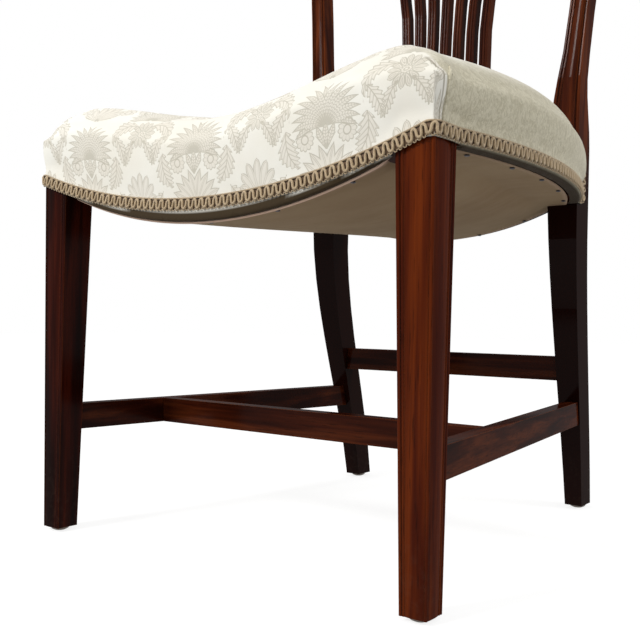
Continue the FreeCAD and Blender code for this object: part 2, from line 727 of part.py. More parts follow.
# Corner and lengths of each rail tenon
FRONT_TENON = ((f"{LEG_INNER} - Sizes.tenon_root",
                f"{LEG_FRONT} + (Sizes.rail_thickness - Sizes.tenon_thickness) / 2", TENON_LOW),
               ("Sizes.tenon_length + Sizes.tenon_root", "Sizes.tenon_thickness", "Sizes.tenon_height"))
SIDE_FRONT_TENON = ((f"{LEG_OUTER} - Sizes.side_tenon_front", f"{LEG_BACK} - Sizes.tenon_length", TENON_LOW),
                    ("Sizes.tenon_thickness", "Sizes.tenon_length + Sizes.tenon_root", "Sizes.tenon_height"))
SIDE_REAR_TENON = ((f"{POST_OUTER} - Sizes.side_tenon_rear", f"{POST_FRONT} - Sizes.tenon_root", TENON_LOW),
                   ("Sizes.tenon_thickness", "Sizes.tenon_length + Sizes.tenon_root", "Sizes.tenon_height"))
REAR_TENON = ((f"{POST_INNER} - Sizes.tenon_root",
               f"{REAR_RAIL_FRONT} + (Sizes.rear_rail_thickness - Sizes.tenon_thickness) / 2", TENON_LOW),
              ("Sizes.rear_tenon_length + Sizes.tenon_root", "Sizes.tenon_thickness", "Sizes.tenon_height"))


def across_pair(tenon):
    """The same tenon at the other end of a rail that runs across the chair."""
    corner, lengths = tenon
    return ((f"-({corner[0]}) - ({lengths[0]})", corner[1], corner[2]), lengths)


# Stretchers
def low_line(share):
    """X of a side stretcher's outer face at the front leg (0) or the back post (1)."""
    middle = size("low_stretcher_bottom") + size("low_stretcher_height") / 2
    if share == 0:
        return leg_outer - size("stretcher_inset")
    return post_section(middle)[0] - size("stretcher_inset")


def leg_side_at(height):
    """Side of the square front leg at a height."""
    share = (height - size("glide_height")) / (size("rail_bottom") - size("glide_height"))
    return size("leg_foot") + (size("leg_top") - size("leg_foot")) * share


def side_stretcher_line():
    """Both ends of a side stretcher's centre line: on the leg's back and on the post's front."""
    middle = size("low_stretcher_bottom") + size("low_stretcher_height") / 2
    half = size("stretcher_thickness") / 2
    start = Vector(low_line(0) - half, leg_front + leg_side_at(middle), 0)
    stop = Vector(low_line(1) - half, post_section(middle)[1], 0)
    return start, stop


def slanted_bar(start, stop, thickness, low, height):
    """A bar of rectangular section whose centre line runs from start to stop in plan."""
    along = stop - start
    solid = Part.makeBox(along.Length, thickness, height, Vector(0, -thickness / 2, 0))
    turn = math.degrees(math.atan2(along.y, along.x))
    solid.Placement = Placement(Vector(start.x, start.y, low), Rotation(Vector(0, 0, 1), turn))
    return solid


def stretcher_tenon(start, stop, low, height, margin):
    """A stretcher's tenon, centred on its line."""
    thick = size("stretcher_tenon_thickness") + 2 * margin
    tall = size("stretcher_tenon_height") + 2 * margin
    return slanted_bar(start, stop, thick, low + (height - tall) / 2, tall)


def tenoned_stretcher(start, stop, thickness, low, height, ends):
    """A stretcher cut to the pieces at its ends, with a tenon into each, and those tenons' sockets."""
    along = (stop - start).normalize()
    spare = along * thickness / 2
    blank = slanted_bar(start - spare, stop + spare, thickness, low, height)
    for end in ends:
        blank = blank.cut(end)
    body = sorted(blank.Solids, key=lambda solid: solid.Volume)[-1]
    reach = size("stretcher_tenon")
    play = size("joint_clearance")
    root = reach / 2
    spans = ((start - along * reach, start + along * root), (stop - along * root, stop + along * reach))
    sockets = []
    for first, last in spans:
        body = body.fuse(stretcher_tenon(first, last, low, height, 0))
    for first, last in ((spans[0][0] - along * play, spans[0][1]), (spans[1][0], spans[1][1] + along * play)):
        sockets.append(stretcher_tenon(first, last, low, height, play))
    return body.removeSplitter(), sockets


def mirrored(shape):
    """A shape on the other side of the chair."""
    return shape.mirror(Vector(0, 0, 0), Vector(1, 0, 0))


# Corner blocks and their screws
def block_corners(front):
    """Plan of a corner block on the +X side, clear of the leg or post and flat on both rails."""
    reach = size("block_leg")
    thick = size("rail_thickness")
    if front:
        rail = leg_front + thick
        inner_end = side_inner(leg_back + reach)
        return [(leg_inner - reach, rail), (leg_inner, rail), (leg_inner, leg_back),
                (side_inner(leg_back), leg_back), (inner_end, leg_back + reach)]
    inner_end = side_inner(post_front - reach)
    return [(post_inner - reach, rear_rail_front), (post_inner, rear_rail_front), (post_inner, post_front),
            (side_inner(post_front), post_front), (inner_end, post_front - reach)]


def corner_screws(front):
    """Two screws through a corner block, one into each rail: heads, shanks and their holes."""
    corners = block_corners(front)
    low = size("rail_bottom") + size("block_height") / 2
    toward = -1 if front else 1
    place = size("screw_place")
    step = size("screw_step")
    depth = size("screw_set")
    into_cross = Vector(corners[0][0] + place, corners[0][1], low + step)
    into_side = Vector(corners[4][0], corners[4][1] + toward * place, low - step)
    into_side.x = side_inner(into_side.y)
    screws = []
    for point, direction in ((into_cross, Vector(0, toward, 0)), (into_side, Vector(1, 0, 0))):
        start = point - direction * depth
        shank = prism(8, size("screw_diameter") / 2, start, direction, depth + size("screw_bite"))
        head = prism(8, size("screw_head") / 2, start, direction, size("screw_head_height"))
        well = prism(8, size("screw_head") / 2, start, -direction, size("well_reach"))
        screws.append((shank.fuse(head).removeSplitter(), well))
    return screws


def corner_block(front):
    """A corner block with holes for its screws."""
    corners = [Vector(x, y, size("rail_bottom")) for x, y in block_corners(front)]
    solid = Part.Face(Part.makePolygon(corners + corners[:1])).extrude(Vector(0, 0, size("block_height")))
    for screw, well in corner_screws(front):
        solid = solid.cut([screw, well])
    return sorted(solid.Solids, key=lambda part: part.Volume)[-1]


# Webbing, hessian and bottom cloth follow the dish of the rails
DISH_FOLDS = 4


def dish_section(y, half, dish, edge, side, low, high):
    """Closed section across the seat, between two lifts above a dished line of flat runs.

    The line is flat over the side rails at the height side, comes to the height edge at the
    distance half from the middle, and dips between by dish.
    """
    reach = leg_outer + 60
    step = size("leg_top") - size("rail_thickness")

    def line(lift):
        points = [Vector(-reach, y, side + lift), Vector(-half - step, y, side + lift)]
        for place in range(-DISH_FOLDS, DISH_FOLDS + 1):
            x = half * place / DISH_FOLDS
            points.append(Vector(x, y, edge - circle_height(half, dish, abs(x)) + lift))
        points += [Vector(half + step, y, side + lift), Vector(reach, y, side + lift)]
        return points

    return line(low) + line(high)[::-1]


def fold_sag(half, dish):
    """How far a flat run of a dished section lies from the round edge that it follows."""
    return (half / DISH_FOLDS) ** 2 / (8 * circle_radius(half, dish))


def deck_slab(low, high):
    """A slab that follows the tops of the rails, between two lifts above them."""
    ends = (((leg_front, leg_front + size("rail_thickness")), leg_inner, size("front_dish")),
            ((rear_rail_front, shoe_front), post_inner, size("rear_top_dish")))
    sections = [dish_section(y, half, dish, frame_top, frame_top, low, high)
                for places, half, dish in ends for y in places]
    return folded(sections)


SIDE_FLATS = 6


def seat_plan(front, rear, inset):
    """Plan of the seat frame, its sides set in, as a tall prism."""
    middle = (leg_back + post_front) / 2
    edges = []
    for way in (-1, 1):
        corners = [Vector(way * (side_face(y) - inset), y, 0) for y in (leg_back, middle, post_front)]
        bowed = [corners[0]] + arc_points(*corners, SIDE_FLATS)
        edges += Part.makePolygon(bowed).Edges
        edges.append(Part.LineSegment(Vector(corners[0].x, front, 0), corners[0]).toShape())
        edges.append(Part.LineSegment(corners[2], Vector(corners[2].x, rear, 0)).toShape())
    for y, half in ((front, leg_outer - inset), (rear, post_outer - inset)):
        edges.append(Part.LineSegment(Vector(-half, y, 0), Vector(half, y, 0)).toShape())
    return Part.Face(Part.Wire(Part.__sortEdges__(edges))).extrude(Vector(0, 0, size("overall_height")))


def corner_room(front):
    """The room that cloth leaves for the legs or the back posts."""
    gap = size("soft_clearance")
    tall = size("overall_height")
    rooms = []
    for way in (-1, 1):
        if front:
            wide = 2 * size("leg_top")
            left = way * (leg_inner - gap) - (wide if way < 0 else 0)
            rooms.append(Part.makeBox(wide, wide, tall, Vector(left, leg_back + gap - wide, 0)))
        else:
            wide = size("post_width") + 2 * gap
            left = way * (post_inner + post_outer) / 2 - wide / 2
            rooms.append(Part.makeBox(wide, 2 * size("post_depth"), tall, Vector(left, post_front - gap, 0)))
    return rooms


def deck_rear():
    """Rear edge of the cloth on the rear rail, in front of the cover's rear edge."""
    return shoe_front - size("soft_clearance") - size("cover_thickness") - 1


def webbing():
    """The straps: lengthwise ones on front and rear rail, crosswise ones over them."""
    count = int(size("strap_count"))
    wide = size("strap_width")
    thick = size("strap_thickness")
    lower = deck_slab(size("cloth_gap"), thick + size("cloth_gap"))
    upper = deck_slab(thick + 2 * size("cloth_gap"), 2 * (thick + size("cloth_gap")))
    front = leg_front + size("deck_front_inset")
    rear = deck_rear()
    margin = wide / 2 + size("strap_margin")
    lengthwise = []
    crosswise = []
    for number in range(count):
        place = 2 * number / (count - 1) - 1
        at_front = place * (leg_inner - margin)
        at_rear = place * (post_inner - margin)
        corners = [(at_front - wide / 2, front), (at_front + wide / 2, front),
                   (at_rear + wide / 2, rear), (at_rear - wide / 2, rear)]
        wire = Part.makePolygon([Vector(x, y, 0) for x, y in corners + corners[:1]])
        lengthwise.append(lower.common(Part.Face(wire).extrude(Vector(0, 0, size("overall_height")))))
        first = size("strap_first")
        y = leg_back + first + (post_front - leg_back - 2 * first) * number / (count - 1)
        reach = side_face(y) - size("strap_end")
        strap = Part.makeBox(2 * reach, wide, size("overall_height"), Vector(-reach, y - wide / 2, 0))
        crosswise.append(upper.common(strap))
    return Part.makeCompound(lengthwise), Part.makeCompound(crosswise)


def hessian_lift():
    """Lift of the hessian's underside above the rails."""
    return 2 * size("strap_thickness") + 3 * size("cloth_gap")


def make_hessian():
    """The hessian over the straps, notched round the back posts."""
    slab = deck_slab(hessian_lift(), hessian_lift() + size("hessian_thickness"))
    plan = seat_plan(leg_front + size("deck_front_inset"), deck_rear(), size("deck_inset"))
    return slab.common(plan).cut(corner_room(False))


# The seat: its outer form, from which the cover and the stuffing are taken
TOP_FLATS = 6
COVER_STEPS = 12
STUFFING_STEPS = 6


def roll_drop(radius, distance):
    """How far a rounded edge has fallen at a distance from its end."""
    return radius - math.sqrt(radius ** 2 - max(0, radius - max(0, distance)) ** 2)


def seat_half_width(y, inset):
    """Half the width of the covered seat at its lower edge."""
    return side_face(y) + size("soft_clearance") + size("cover_thickness") - inset


def seat_section(y, inset, low):
    """Closed section across the seat: straight foot, swelling sides, round shoulders and dished top."""
    front = leg_front - size("soft_clearance") - size("cover_thickness") + inset
    rear = shoe_front - size("soft_clearance") - inset
    from_front = y - front
    drop = roll_drop(size("front_roll"), from_front) + roll_drop(size("rear_roll"), rear - y)
    foot = seat_half_width(y, inset) - roll_drop(size("corner_radius"), from_front)
    share = max(0, min(1, (y - leg_back) / (post_front - leg_back)))
    begin = math.sin(math.pi / 2 * min(1, from_front / size("swell_start")))
    swell = size("side_swell") * begin * (1 - share ** 3)
    crest = frame_top + size("seat_rise") - inset - drop
    crest += size("seat_side_rise") * math.sin(math.pi * share) - size("seat_back_fall") * share ** 3
    shoulder = max(crest - size("shoulder_drop"), frame_top + size("soft_clearance") + inset)
    straight = size("rail_bottom") + size("braid_width")
    inner = foot - size("shoulder_width")
    dip = size("seat_dip")

    right = [Vector(0, y, low), Vector(foot, y, low), Vector(foot, y, straight)]
    bulge = Vector(foot + swell * 0.7, y, (straight + shoulder) / 2)
    right += [bulge, Vector(foot + swell, y, shoulder)]
    bend = math.sqrt(0.5)
    corner = Vector(inner + (foot + swell - inner) * bend, y, shoulder + (crest - shoulder) * bend)
    right += arc_points(right[-1], corner, Vector(inner, y, crest), 5)
    right += [Vector(inner * (1 - step / TOP_FLATS), y, crest - dip * ease(step / TOP_FLATS))
              for step in range(1, TOP_FLATS + 1)]
    return right + [Vector(-point.x, y, point.z) for point in right[-2:0:-1]]


def seat_form(inset, low, steps):
    """The covered seat as one solid, or the same form inset by a cover's thickness."""
    front = leg_front - size("soft_clearance") - size("cover_thickness") + inset
    rear = shoe_front - size("soft_clearance") - inset
    roll = size("front_roll")
    back_roll = size("rear_roll")
    stations = [front + roll * share for share in (0, 0.08, 0.3, 0.6, 1)]
    stations += [leg_back + (post_front - leg_back) * step / steps for step in range(steps + 1)]
    stations += [rear - back_roll * share for share in (0.5, 0.15, 0)]
    return folded([seat_section(y, inset, low) for y in sorted(stations)])


EDGE_FLATS = 6


def dish_points(half, dish, height):
    """Points along a dished edge from -X to +X, its ends at a height."""
    spots = []
    for place in range(-EDGE_FLATS, EDGE_FLATS + 1):
        x = half * place / EDGE_FLATS
        spots.append(Vector(x, 0, height - circle_height(half, dish, abs(x))))
    return spots


def below_front(lower, reach):
    """Everything under the curved lower edge of the front rail, lowered or raised by a step."""
    ends = size("rail_bottom") - size("front_rail_drop") + lower
    low = size("low_stretcher_bottom")
    points = [Vector(-reach, 0, low), Vector(-reach, 0, size("rail_bottom")),
              Vector(-leg_inner, 0, size("rail_bottom")), *dish_points(leg_inner, size("front_dish"), ends),
              Vector(leg_inner, 0, size("rail_bottom")), Vector(reach, 0, size("rail_bottom")),
              Vector(reach, 0, low)]
    return Part.Face(Part.makePolygon(points + points[:1]))


def rear_rail_room():
    """The rear rail, with the room that the cover leaves above and in front of it."""
    gap = size("soft_clearance")
    low = size("rail_bottom") - size("rear_dish") - size("side_rail_height")
    points = [Vector(-post_inner, 0, low), *dish_points(post_inner, size("rear_top_dish"), frame_top + gap),
              Vector(post_inner, 0, low)]
    room = Part.Face(Part.makePolygon(points + points[:1])).extrude(Vector(0, size("post_depth"), 0))
    room.translate(Vector(0, rear_rail_front - gap, 0))
    return room


def make_cover_and_stuffing():
    """The damask skin and the stuffing that fills it above the hessian."""
    thick = size("cover_thickness")
    low = size("rail_bottom") - 2 * size("front_dish")
    outer = seat_form(0, low, COVER_STEPS)
    inner = seat_form(thick, low - thick, COVER_STEPS)
    skin = outer.cut(inner)
    reach = size("front_width")
    low_front = below_front(-thick, reach).extrude(Vector(0, reach, 0))
    low_front.translate(Vector(0, leg_back - reach, 0))
    corner = Vector(-reach, leg_back, size("rail_bottom") - reach)
    low_rest = Part.makeBox(2 * reach, 2 * reach, reach, corner)
    posts = corner_room(False)
    skin = skin.cut([low_front, low_rest, rear_rail_room()] + posts)
    skin = sorted(skin.Solids, key=lambda solid: solid.Volume)[-1]
    lift = hessian_lift() + size("hessian_thickness") + size("cloth_gap")
    room = deck_slab(lift, size("overall_height") - frame_top)
    stuffing = seat_form(thick + 3 * size("cloth_gap"), low, STUFFING_STEPS).common(room).cut(posts)
    stuffing = sorted(stuffing.Solids, key=lambda solid: solid.Volume)[-1]
    return skin, stuffing


def make_braid():
    """The gimp braid along the front and the sides, turned up beside the posts."""
    thick = size("braid_thickness")
    wide = size("braid_width")
    lay = size("cover_thickness") + size("soft_clearance")
    radius = size("corner_radius")
    gap = size("cloth_gap")
    low = size("rail_bottom")
    foot = low - size("front_rail_drop") + size("braid_rise")
    y = leg_front - lay - gap
    reach = leg_outer + lay - radius
    edges = []
    for lift in (0, wide):
        edges.append(Part.Arc(Vector(-reach, y, foot + lift), Vector(0, y, foot + lift - size("front_dish")),
                              Vector(reach, y, foot + lift)).toShape())
    for across in (-reach, reach):
        edges.append(Part.LineSegment(Vector(across, y, foot), Vector(across, y, foot + wide)).toShape())
    front = Part.Face(Part.Wire(Part.__sortEdges__(edges))).extrude(Vector(0, -thick, 0))
    rear = shoe_front - size("soft_clearance")
    middle = (leg_back + post_front) / 2
    edges = []
    for out in (lay + gap, lay + gap + thick):
        line = [Vector(side_face(place) + out, place, low) for place in (leg_back, middle, post_front)]
        start = Vector(line[0].x, leg_front - lay + radius, low)
        stop = Vector(line[2].x, rear, low)
        edges.append(Part.LineSegment(start, line[0]).toShape())
        edges.append(Part.Arc(*line).toShape())
        edges.append(Part.LineSegment(line[2], stop).toShape())
    for place, x in ((leg_front - lay + radius, leg_outer), (rear, post_outer)):
        ends = [Vector(x + out, place, low) for out in (lay + gap, lay + gap + thick)]
        edges.append(Part.LineSegment(*ends).toShape())
    right = Part.Face(Part.Wire(Part.__sortEdges__(edges))).extrude(Vector(0, 0, wide))
    turned_up = Part.makeBox(thick, size("braid_return"), size("braid_return_top") - low - wide,
                             Vector(post_outer + lay + gap, rear - size("braid_return"), low + wide))
    centre = Vector(reach, leg_front - lay + radius, low)
    ring = Part.makeCylinder(radius + gap + thick, wide, centre)
    ring = ring.cut(Part.makeCylinder(radius + gap, wide, centre))
    corner = ring.common(Part.makeBox(50, 50, 100, centre - Vector(0, 50, 50)))
    right = right.fuse([turned_up, corner]).removeSplitter()
    return front.fuse([right, mirrored(right)]).removeSplitter()


def make_rear_braid():
    """Two strips behind the cover, on the rear rail between the shoe and the posts."""
    lift = size("soft_clearance")
    half = post_inner
    dish = size("rear_top_dish")
    near = size("shoe_width") / 2 + size("soft_clearance")
    far = post_inner - size("soft_clearance")
    places = (near, (near + far) / 2, far)

    def edge(rise):
        base = frame_top + lift + rise
        points = [Vector(x, shoe_front, base - circle_height(half, dish, x)) for x in places]
        return Part.Arc(*points).toShape()

    low = edge(0)
    high = edge(size("braid_width"))
    ends = [Part.LineSegment(low.Vertexes[n].Point, high.Vertexes[n].Point).toShape() for n in (0, 1)]
    face = Part.Face(Part.Wire(Part.__sortEdges__([low, high] + ends)))
    strip = face.extrude(Vector(0, size("braid_thickness"), 0))
    return Part.makeCompound([strip, mirrored(strip)])


def build():
    """Make every piece."""
    play = "Sizes.joint_clearance"

    # Timbers before their joints
    leg = front_leg_blank()
    post = back_post_blank()
    crest = crest_blank()
    doc.recompute()
    leg_solid = leg.Shape
    post_solid = post.Shape

    # Rails with their tenons
    front_tenons = [FRONT_TENON, across_pair(FRONT_TENON)]
    rear_tenons = [REAR_TENON, across_pair(REAR_TENON)]
    side_tenons = [SIDE_FRONT_TENON, SIDE_REAR_TENON]
    rails = {}
    for label, blank, tenons in (("front_rail", front_rail_blank(), front_tenons),
                                 ("rear_rail", rear_rail_blank(), rear_tenons),
                                 ("side_rail_right", side_rail_blank(), side_tenons)):
        tongues = [box(f"{label}_tenon_{n}", *tenon) for n, tenon in enumerate(tenons)]
        rails[label] = fuse([blank] + tongues, f"{label}_whole")

    # Stretchers
    low = size("low_stretcher_bottom")
    tall = size("low_stretcher_height")
    start, stop = side_stretcher_line()
    thick = size("stretcher_thickness")
    side_bar, side_sockets = tenoned_stretcher(start, stop, thick, low, tall, [leg_solid, post_solid])
    medial_y = leg_front + size("medial_setback") + thick / 2
    share = (medial_y - start.y) / (stop.y - start.y)
    medial_end = start.x + (stop.x - start.x) * share - thick / 2
    medial, medial_sockets = tenoned_stretcher(
        Vector(-medial_end, medial_y, 0), Vector(medial_end, medial_y, 0), thick, low, tall,
        [side_bar, mirrored(side_bar)])
    rear_low = size("rear_stretcher_bottom")
    rear_tall = size("rear_stretcher_height")
    outer, front, wide, deep = post_section(rear_low + rear_tall / 2)
    rear_y = front + deep / 2
    rear, rear_sockets = tenoned_stretcher(
        Vector(wide - outer, rear_y, 0), Vector(outer - wide, rear_y, 0),
        size("rear_stretcher_thickness"), rear_low, rear_tall, [post_solid, mirrored(post_solid)])
    name_part(shape_object("side_stretcher_right", side_bar.cut(medial_sockets[1])), "side_stretcher_right")
    mirror(parts["side_stretcher_right"], "side_stretcher_left")
    name_part(shape_object("medial_stretcher", medial), "medial_stretcher")
    name_part(shape_object("rear_stretcher", rear), "rear_stretcher")

    # Glides
    for end in ("front", "rear"):
        name_part(shape_object(f"glide_{end}_right", glide(end)), f"glide_{end}_right")
        mirror(parts[f"glide_{end}_right"], f"glide_{end}_left")

    # Legs and posts with their mortises; the nails of the glides are driven into them
    leg_mortises = [grown_box(f"leg_mortise_{n}", *tenon, play)
                    for n, tenon in enumerate((FRONT_TENON, SIDE_FRONT_TENON))]
    leg_mortises.append(shape_object("leg_stretcher_mortise", side_sockets[0]))
    name_part(cut(leg, leg_mortises, "front_leg_right"), "front_leg_right")
    mirror(parts["front_leg_right"], "front_leg_left")
    post_mortises = [grown_box(f"post_mortise_{n}", *tenon, play)
                     for n, tenon in enumerate((SIDE_REAR_TENON, REAR_TENON))]
    post_mortises.append(shape_object("post_stretcher_mortise", side_sockets[1]))
    post_mortises.append(shape_object("post_rear_mortise", rear_sockets[1]))
    post_with_tenon = fuse([post, shape_object("post_head_tenon", post_tenon(1, 0))], "post_with_tenon")
    name_part(cut(post_with_tenon, post_mortises, "back_post_right"), "back_post_right")
    mirror(parts["back_post_right"], "back_post_left")

    # Bars, crest and shoe
    housings = make_back(crest)
    shoe = shoe_blank()
    name_part(cut(shoe, [shape_object("shoe_housings", Part.makeCompound(housings))], "shoe"), "shoe")

    # Corner blocks with their screws
    screws = []
    for end, front_end in (("front", True), ("rear", False)):
        label = f"corner_block_{end}_right"
        name_part(shape_object(label, corner_block(front_end)), label)
        mirror(parts[label], f"corner_block_{end}_left")
        screws += [screw for screw, well in corner_screws(front_end)]
    screws += [mirrored(screw) for screw in screws]
    name_part(shape_object("corner_block_screws", Part.makeCompound(screws)), "corner_block_screws")

    # Upholstery
    lengthwise, crosswise = webbing()
    name_part(shape_object("webbing_lengthwise", lengthwise), "webbing_lengthwise")
    name_part(shape_object("webbing_crosswise", crosswise), "webbing_crosswise")
    name_part(shape_object("hessian", make_hessian()), "hessian")
    skin, stuffing = make_cover_and_stuffing()
    name_part(shape_object("seat_cover", skin), "seat_cover")
    name_part(shape_object("seat_stuffing", stuffing), "seat_stuffing")
    name_part(shape_object("gimp_braid", make_braid()), "gimp_braid")
    name_part(shape_object("gimp_braid_rear", make_rear_braid()), "gimp_braid_rear")

    # Bottom cloth and its tacks
    cloth, tacks = bottom_cloth_and_tacks()
    name_part(shape_object("bottom_cloth", cloth), "bottom_cloth")
    name_part(shape_object("bottom_cloth_tacks", tacks), "bottom_cloth_tacks")

    # Rails with the holes of the screws; the tacks are driven into them
    holes = shape_object("screw_holes", Part.makeCompound(screws))
    name_part(cut(rails["front_rail"], [holes], "front_rail"), "front_rail")
    name_part(cut(rails["rear_rail"], [holes], "rear_rail"), "rear_rail")
    name_part(cut(rails["side_rail_right"], [holes], "side_rail_right"), "side_rail_right")
    mirror(parts["side_rail_right"], "side_rail_left")


def shoe_blank():
    """The shoe on the rear rail, its lower edge fitted to the dish."""
    half = "(Sizes.shoe_width / 2)"
    radius = f"(({POST_INNER} ^ 2 + Sizes.rear_top_dish ^ 2) / (2 * Sizes.rear_top_dish))"
    middle = f"({FRAME_TOP} - Sizes.rear_top_dish)"
    end = f"({middle} + {radius} - sqrt({radius} ^ 2 - {half} ^ 2))"
    corners = [
        (f"-{half}", end, "0", middle),
        (half, end),
        (half, f"{end} + 12", f"{half} - 3", "Sizes.shoe_top - 12"),
        (f"{half} - 9", "Sizes.shoe_top"),
        (f"9 - {half}", "Sizes.shoe_top", f"3 - {half}", "Sizes.shoe_top - 12"),
        (f"-{half}", f"{end} + 12"),
    ]
    return board("shoe_board", "XZ_Plane", corners, "Sizes.shoe_depth", f"-({SHOE_FRONT} + Sizes.shoe_depth)")


def foot_centre(end):
    """Middle of a foot on the +X side, as expressions."""
    if end == "front":
        return (f"{LEG_OUTER} - Sizes.leg_foot / 2", f"{LEG_FRONT} + Sizes.leg_foot / 2")
    return ("Sizes.rear_foot_width / 2 - Sizes.rear_foot_side / 2",
            "Sizes.overall_depth / 2 - Sizes.rear_foot_depth / 2")


GLIDE_SIDES = 20


def glide(end):
    """A domed glide and its nail under a foot."""
    across, along = (value(place) for place in foot_centre(end))
    tall = size("glide_height")
    rim = size("glide_diameter") / 2
    flat = size("glide_flat") / 2
    rings = ((flat, 0), ((rim + flat) / 2 + 0.8, tall * 0.35), (rim, tall * 0.8), (rim, tall))
    sections = []
    for radius, height in rings:
        ring = [Vector(radius, 0, 0)]
        for number in range(1, GLIDE_SIDES):
            ring.append(Rotation(Vector(0, 0, 1), 360 * number / GLIDE_SIDES).multVec(ring[0]))
        sections.append([point + Vector(across, along, height) for point in ring])
    nail = prism(6, size("nail_diameter") / 2, Vector(across, along, tall / 2), Vector(0, 0, 1),
                 tall / 2 + size("nail_length"))
    return folded(sections).fuse(nail).removeSplitter()


def bottom_cloth_and_tacks():
    """The dust cover tacked under the rails, and its tacks as one group."""
    sag = max(fold_sag(leg_inner, size("front_dish")), fold_sag(post_inner, size("rear_dish")))
    side = size("rail_bottom") - size("cloth_gap") - sag
    front_end = side - size("front_rail_drop")
    front = leg_front + size("cloth_front_inset")
    rear = rear_rail_front + size("rear_rail_thickness") * 0.6
    thick = size("cloth_thickness")
    rear_rail_back = rear_rail_front + size("rear_rail_thickness")
    ends = (((leg_front, leg_front + size("rail_thickness")), leg_inner, size("front_dish"), front_end),
            ((rear_rail_front, rear_rail_back), post_inner, size("rear_dish"), side))
    slab = folded([dish_section(y, half, dish, edge, side, -thick, 0)
                   for places, half, dish, edge in ends for y in places])
    cloth = slab.common(seat_plan(front, rear, size("cloth_inset")))
    cloth = cloth.cut(corner_room(True) + corner_room(False))
    cloth = sorted(cloth.Solids, key=lambda solid: solid.Volume)[-1]
    count = int(size("tacks_per_side"))
    margin = size("tack_margin")
    tacks = []
    for number in range(count):
        place = (number + 0.5) / count * 2 - 1
        for y, (places, half, dish, edge) in ((front + margin, ends[0]), (rear - margin, ends[1])):
            x = place * (half - 6)
            z = edge - circle_height(half, dish, abs(x)) - thick
            tacks.append(tack(Vector(x, y, z)))
        y = (leg_back + post_front) / 2 + place * (post_front - leg_back) / 2
        x = side_face(y) - size("cloth_inset") - margin
        for way in (-1, 1):
            tacks.append(tack(Vector(way * x, y, side - thick)))
    return cloth, Part.makeCompound(tacks)


def tack(point):
    """One tack through the cloth at a point of its underside: a flat head and a shank upward."""
    proud = Vector(0, 0, size("tack_proud"))
    up = Vector(0, 0, 1)
    head = prism(8, size("tack_head") / 2, point - proud, up, size("tack_proud") + size("cloth_gap"))
    shank = prism(4, size("tack_shank") / 2, point - proud, up, size("tack_length"))
    return head.fuse(shank).removeSplitter()


build()
doc.recompute()

# Every object has to be sound before anything is written
for obj in doc.Objects:
    if "Invalid" in obj.State or "Error" in obj.State:
        raise RuntimeError(f"{obj.Label} failed: {obj.State}")
for label, obj in parts.items():
    if obj.Shape.isNull() or not obj.Shape.isValid():
        raise RuntimeError(f"{label} has no valid shape")

os.makedirs("parts", exist_ok=True)
for label, obj in parts.items():
    obj.Shape.exportStep(f"parts/{label}.step")
    box_size = obj.Shape.BoundBox
    print(f"{label}: {len(obj.Shape.Solids)} solids, {obj.Shape.Volume / 1000:.1f} cm3, "
          f"x {box_size.XMin:.1f} to {box_size.XMax:.1f}, y {box_size.YMin:.1f} to {box_size.YMax:.1f}, "
          f"z {box_size.ZMin:.1f} to {box_size.ZMax:.1f}")
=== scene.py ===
# %% [markdown]
# Side chair with a shield-shaped back, dressed over its CAD frame.
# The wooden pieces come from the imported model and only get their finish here. The soft goods, the braid and the
# small repeated metal are made again, because cloth and cord need softer and finer shapes than a CAD solid has.
# Every length is in metres. X runs to the sitter's left, Y from the front to the back, Z up from the floor.
# The frame's own names say left for -X and right for +X, as the chair is seen from the front.

# %% Load the frame
import functools
import math
import bmesh
import bpy
import numpy as np
from mathutils import Matrix, Vector
from mathutils.bvhtree import BVHTree


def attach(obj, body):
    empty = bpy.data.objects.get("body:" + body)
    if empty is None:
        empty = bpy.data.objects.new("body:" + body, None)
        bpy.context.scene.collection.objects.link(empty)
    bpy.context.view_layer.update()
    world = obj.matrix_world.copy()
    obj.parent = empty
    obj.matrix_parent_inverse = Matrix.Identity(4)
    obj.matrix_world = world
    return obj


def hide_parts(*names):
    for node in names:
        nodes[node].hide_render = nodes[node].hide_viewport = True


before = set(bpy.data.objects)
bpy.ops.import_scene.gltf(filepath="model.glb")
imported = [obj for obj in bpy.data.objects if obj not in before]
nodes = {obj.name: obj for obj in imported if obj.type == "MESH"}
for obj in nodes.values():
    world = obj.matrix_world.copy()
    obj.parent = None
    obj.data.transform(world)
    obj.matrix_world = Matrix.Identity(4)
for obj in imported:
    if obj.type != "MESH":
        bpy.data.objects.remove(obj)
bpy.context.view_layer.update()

# %% [markdown]
# The camera is worked out from the photograph: the lines of the legs and stretchers give its place, its turn and
# its focal length. It stands low and close, in front of the seat's left corner, and looks back across the chair.
# The picture's middle is a little off the lens axis, which is what the small shift is for.

# %% Camera
PICTURE = 640
FOCAL_PIXELS = 871.05
AXIS_PIXEL = (324.93, 341.73)
CAMERA_PLACE = Vector((0.60943, -0.88546, 0.25084))
CAMERA_YAW, CAMERA_PITCH, CAMERA_ROLL = (math.radians(a) for a in (36.889, -1.5597, 0.8002))

ahead = Vector((-math.sin(CAMERA_YAW) * math.cos(CAMERA_PITCH), math.cos(CAMERA_YAW) * math.cos(CAMERA_PITCH),
                math.sin(CAMERA_PITCH)))
level_right = Vector((math.cos(CAMERA_YAW), math.sin(CAMERA_YAW), 0))
level_up = level_right.cross(ahead)
right = math.cos(CAMERA_ROLL) * level_right + math.sin(CAMERA_ROLL) * level_up
up = math.cos(CAMERA_ROLL) * level_up - math.sin(CAMERA_ROLL) * level_right

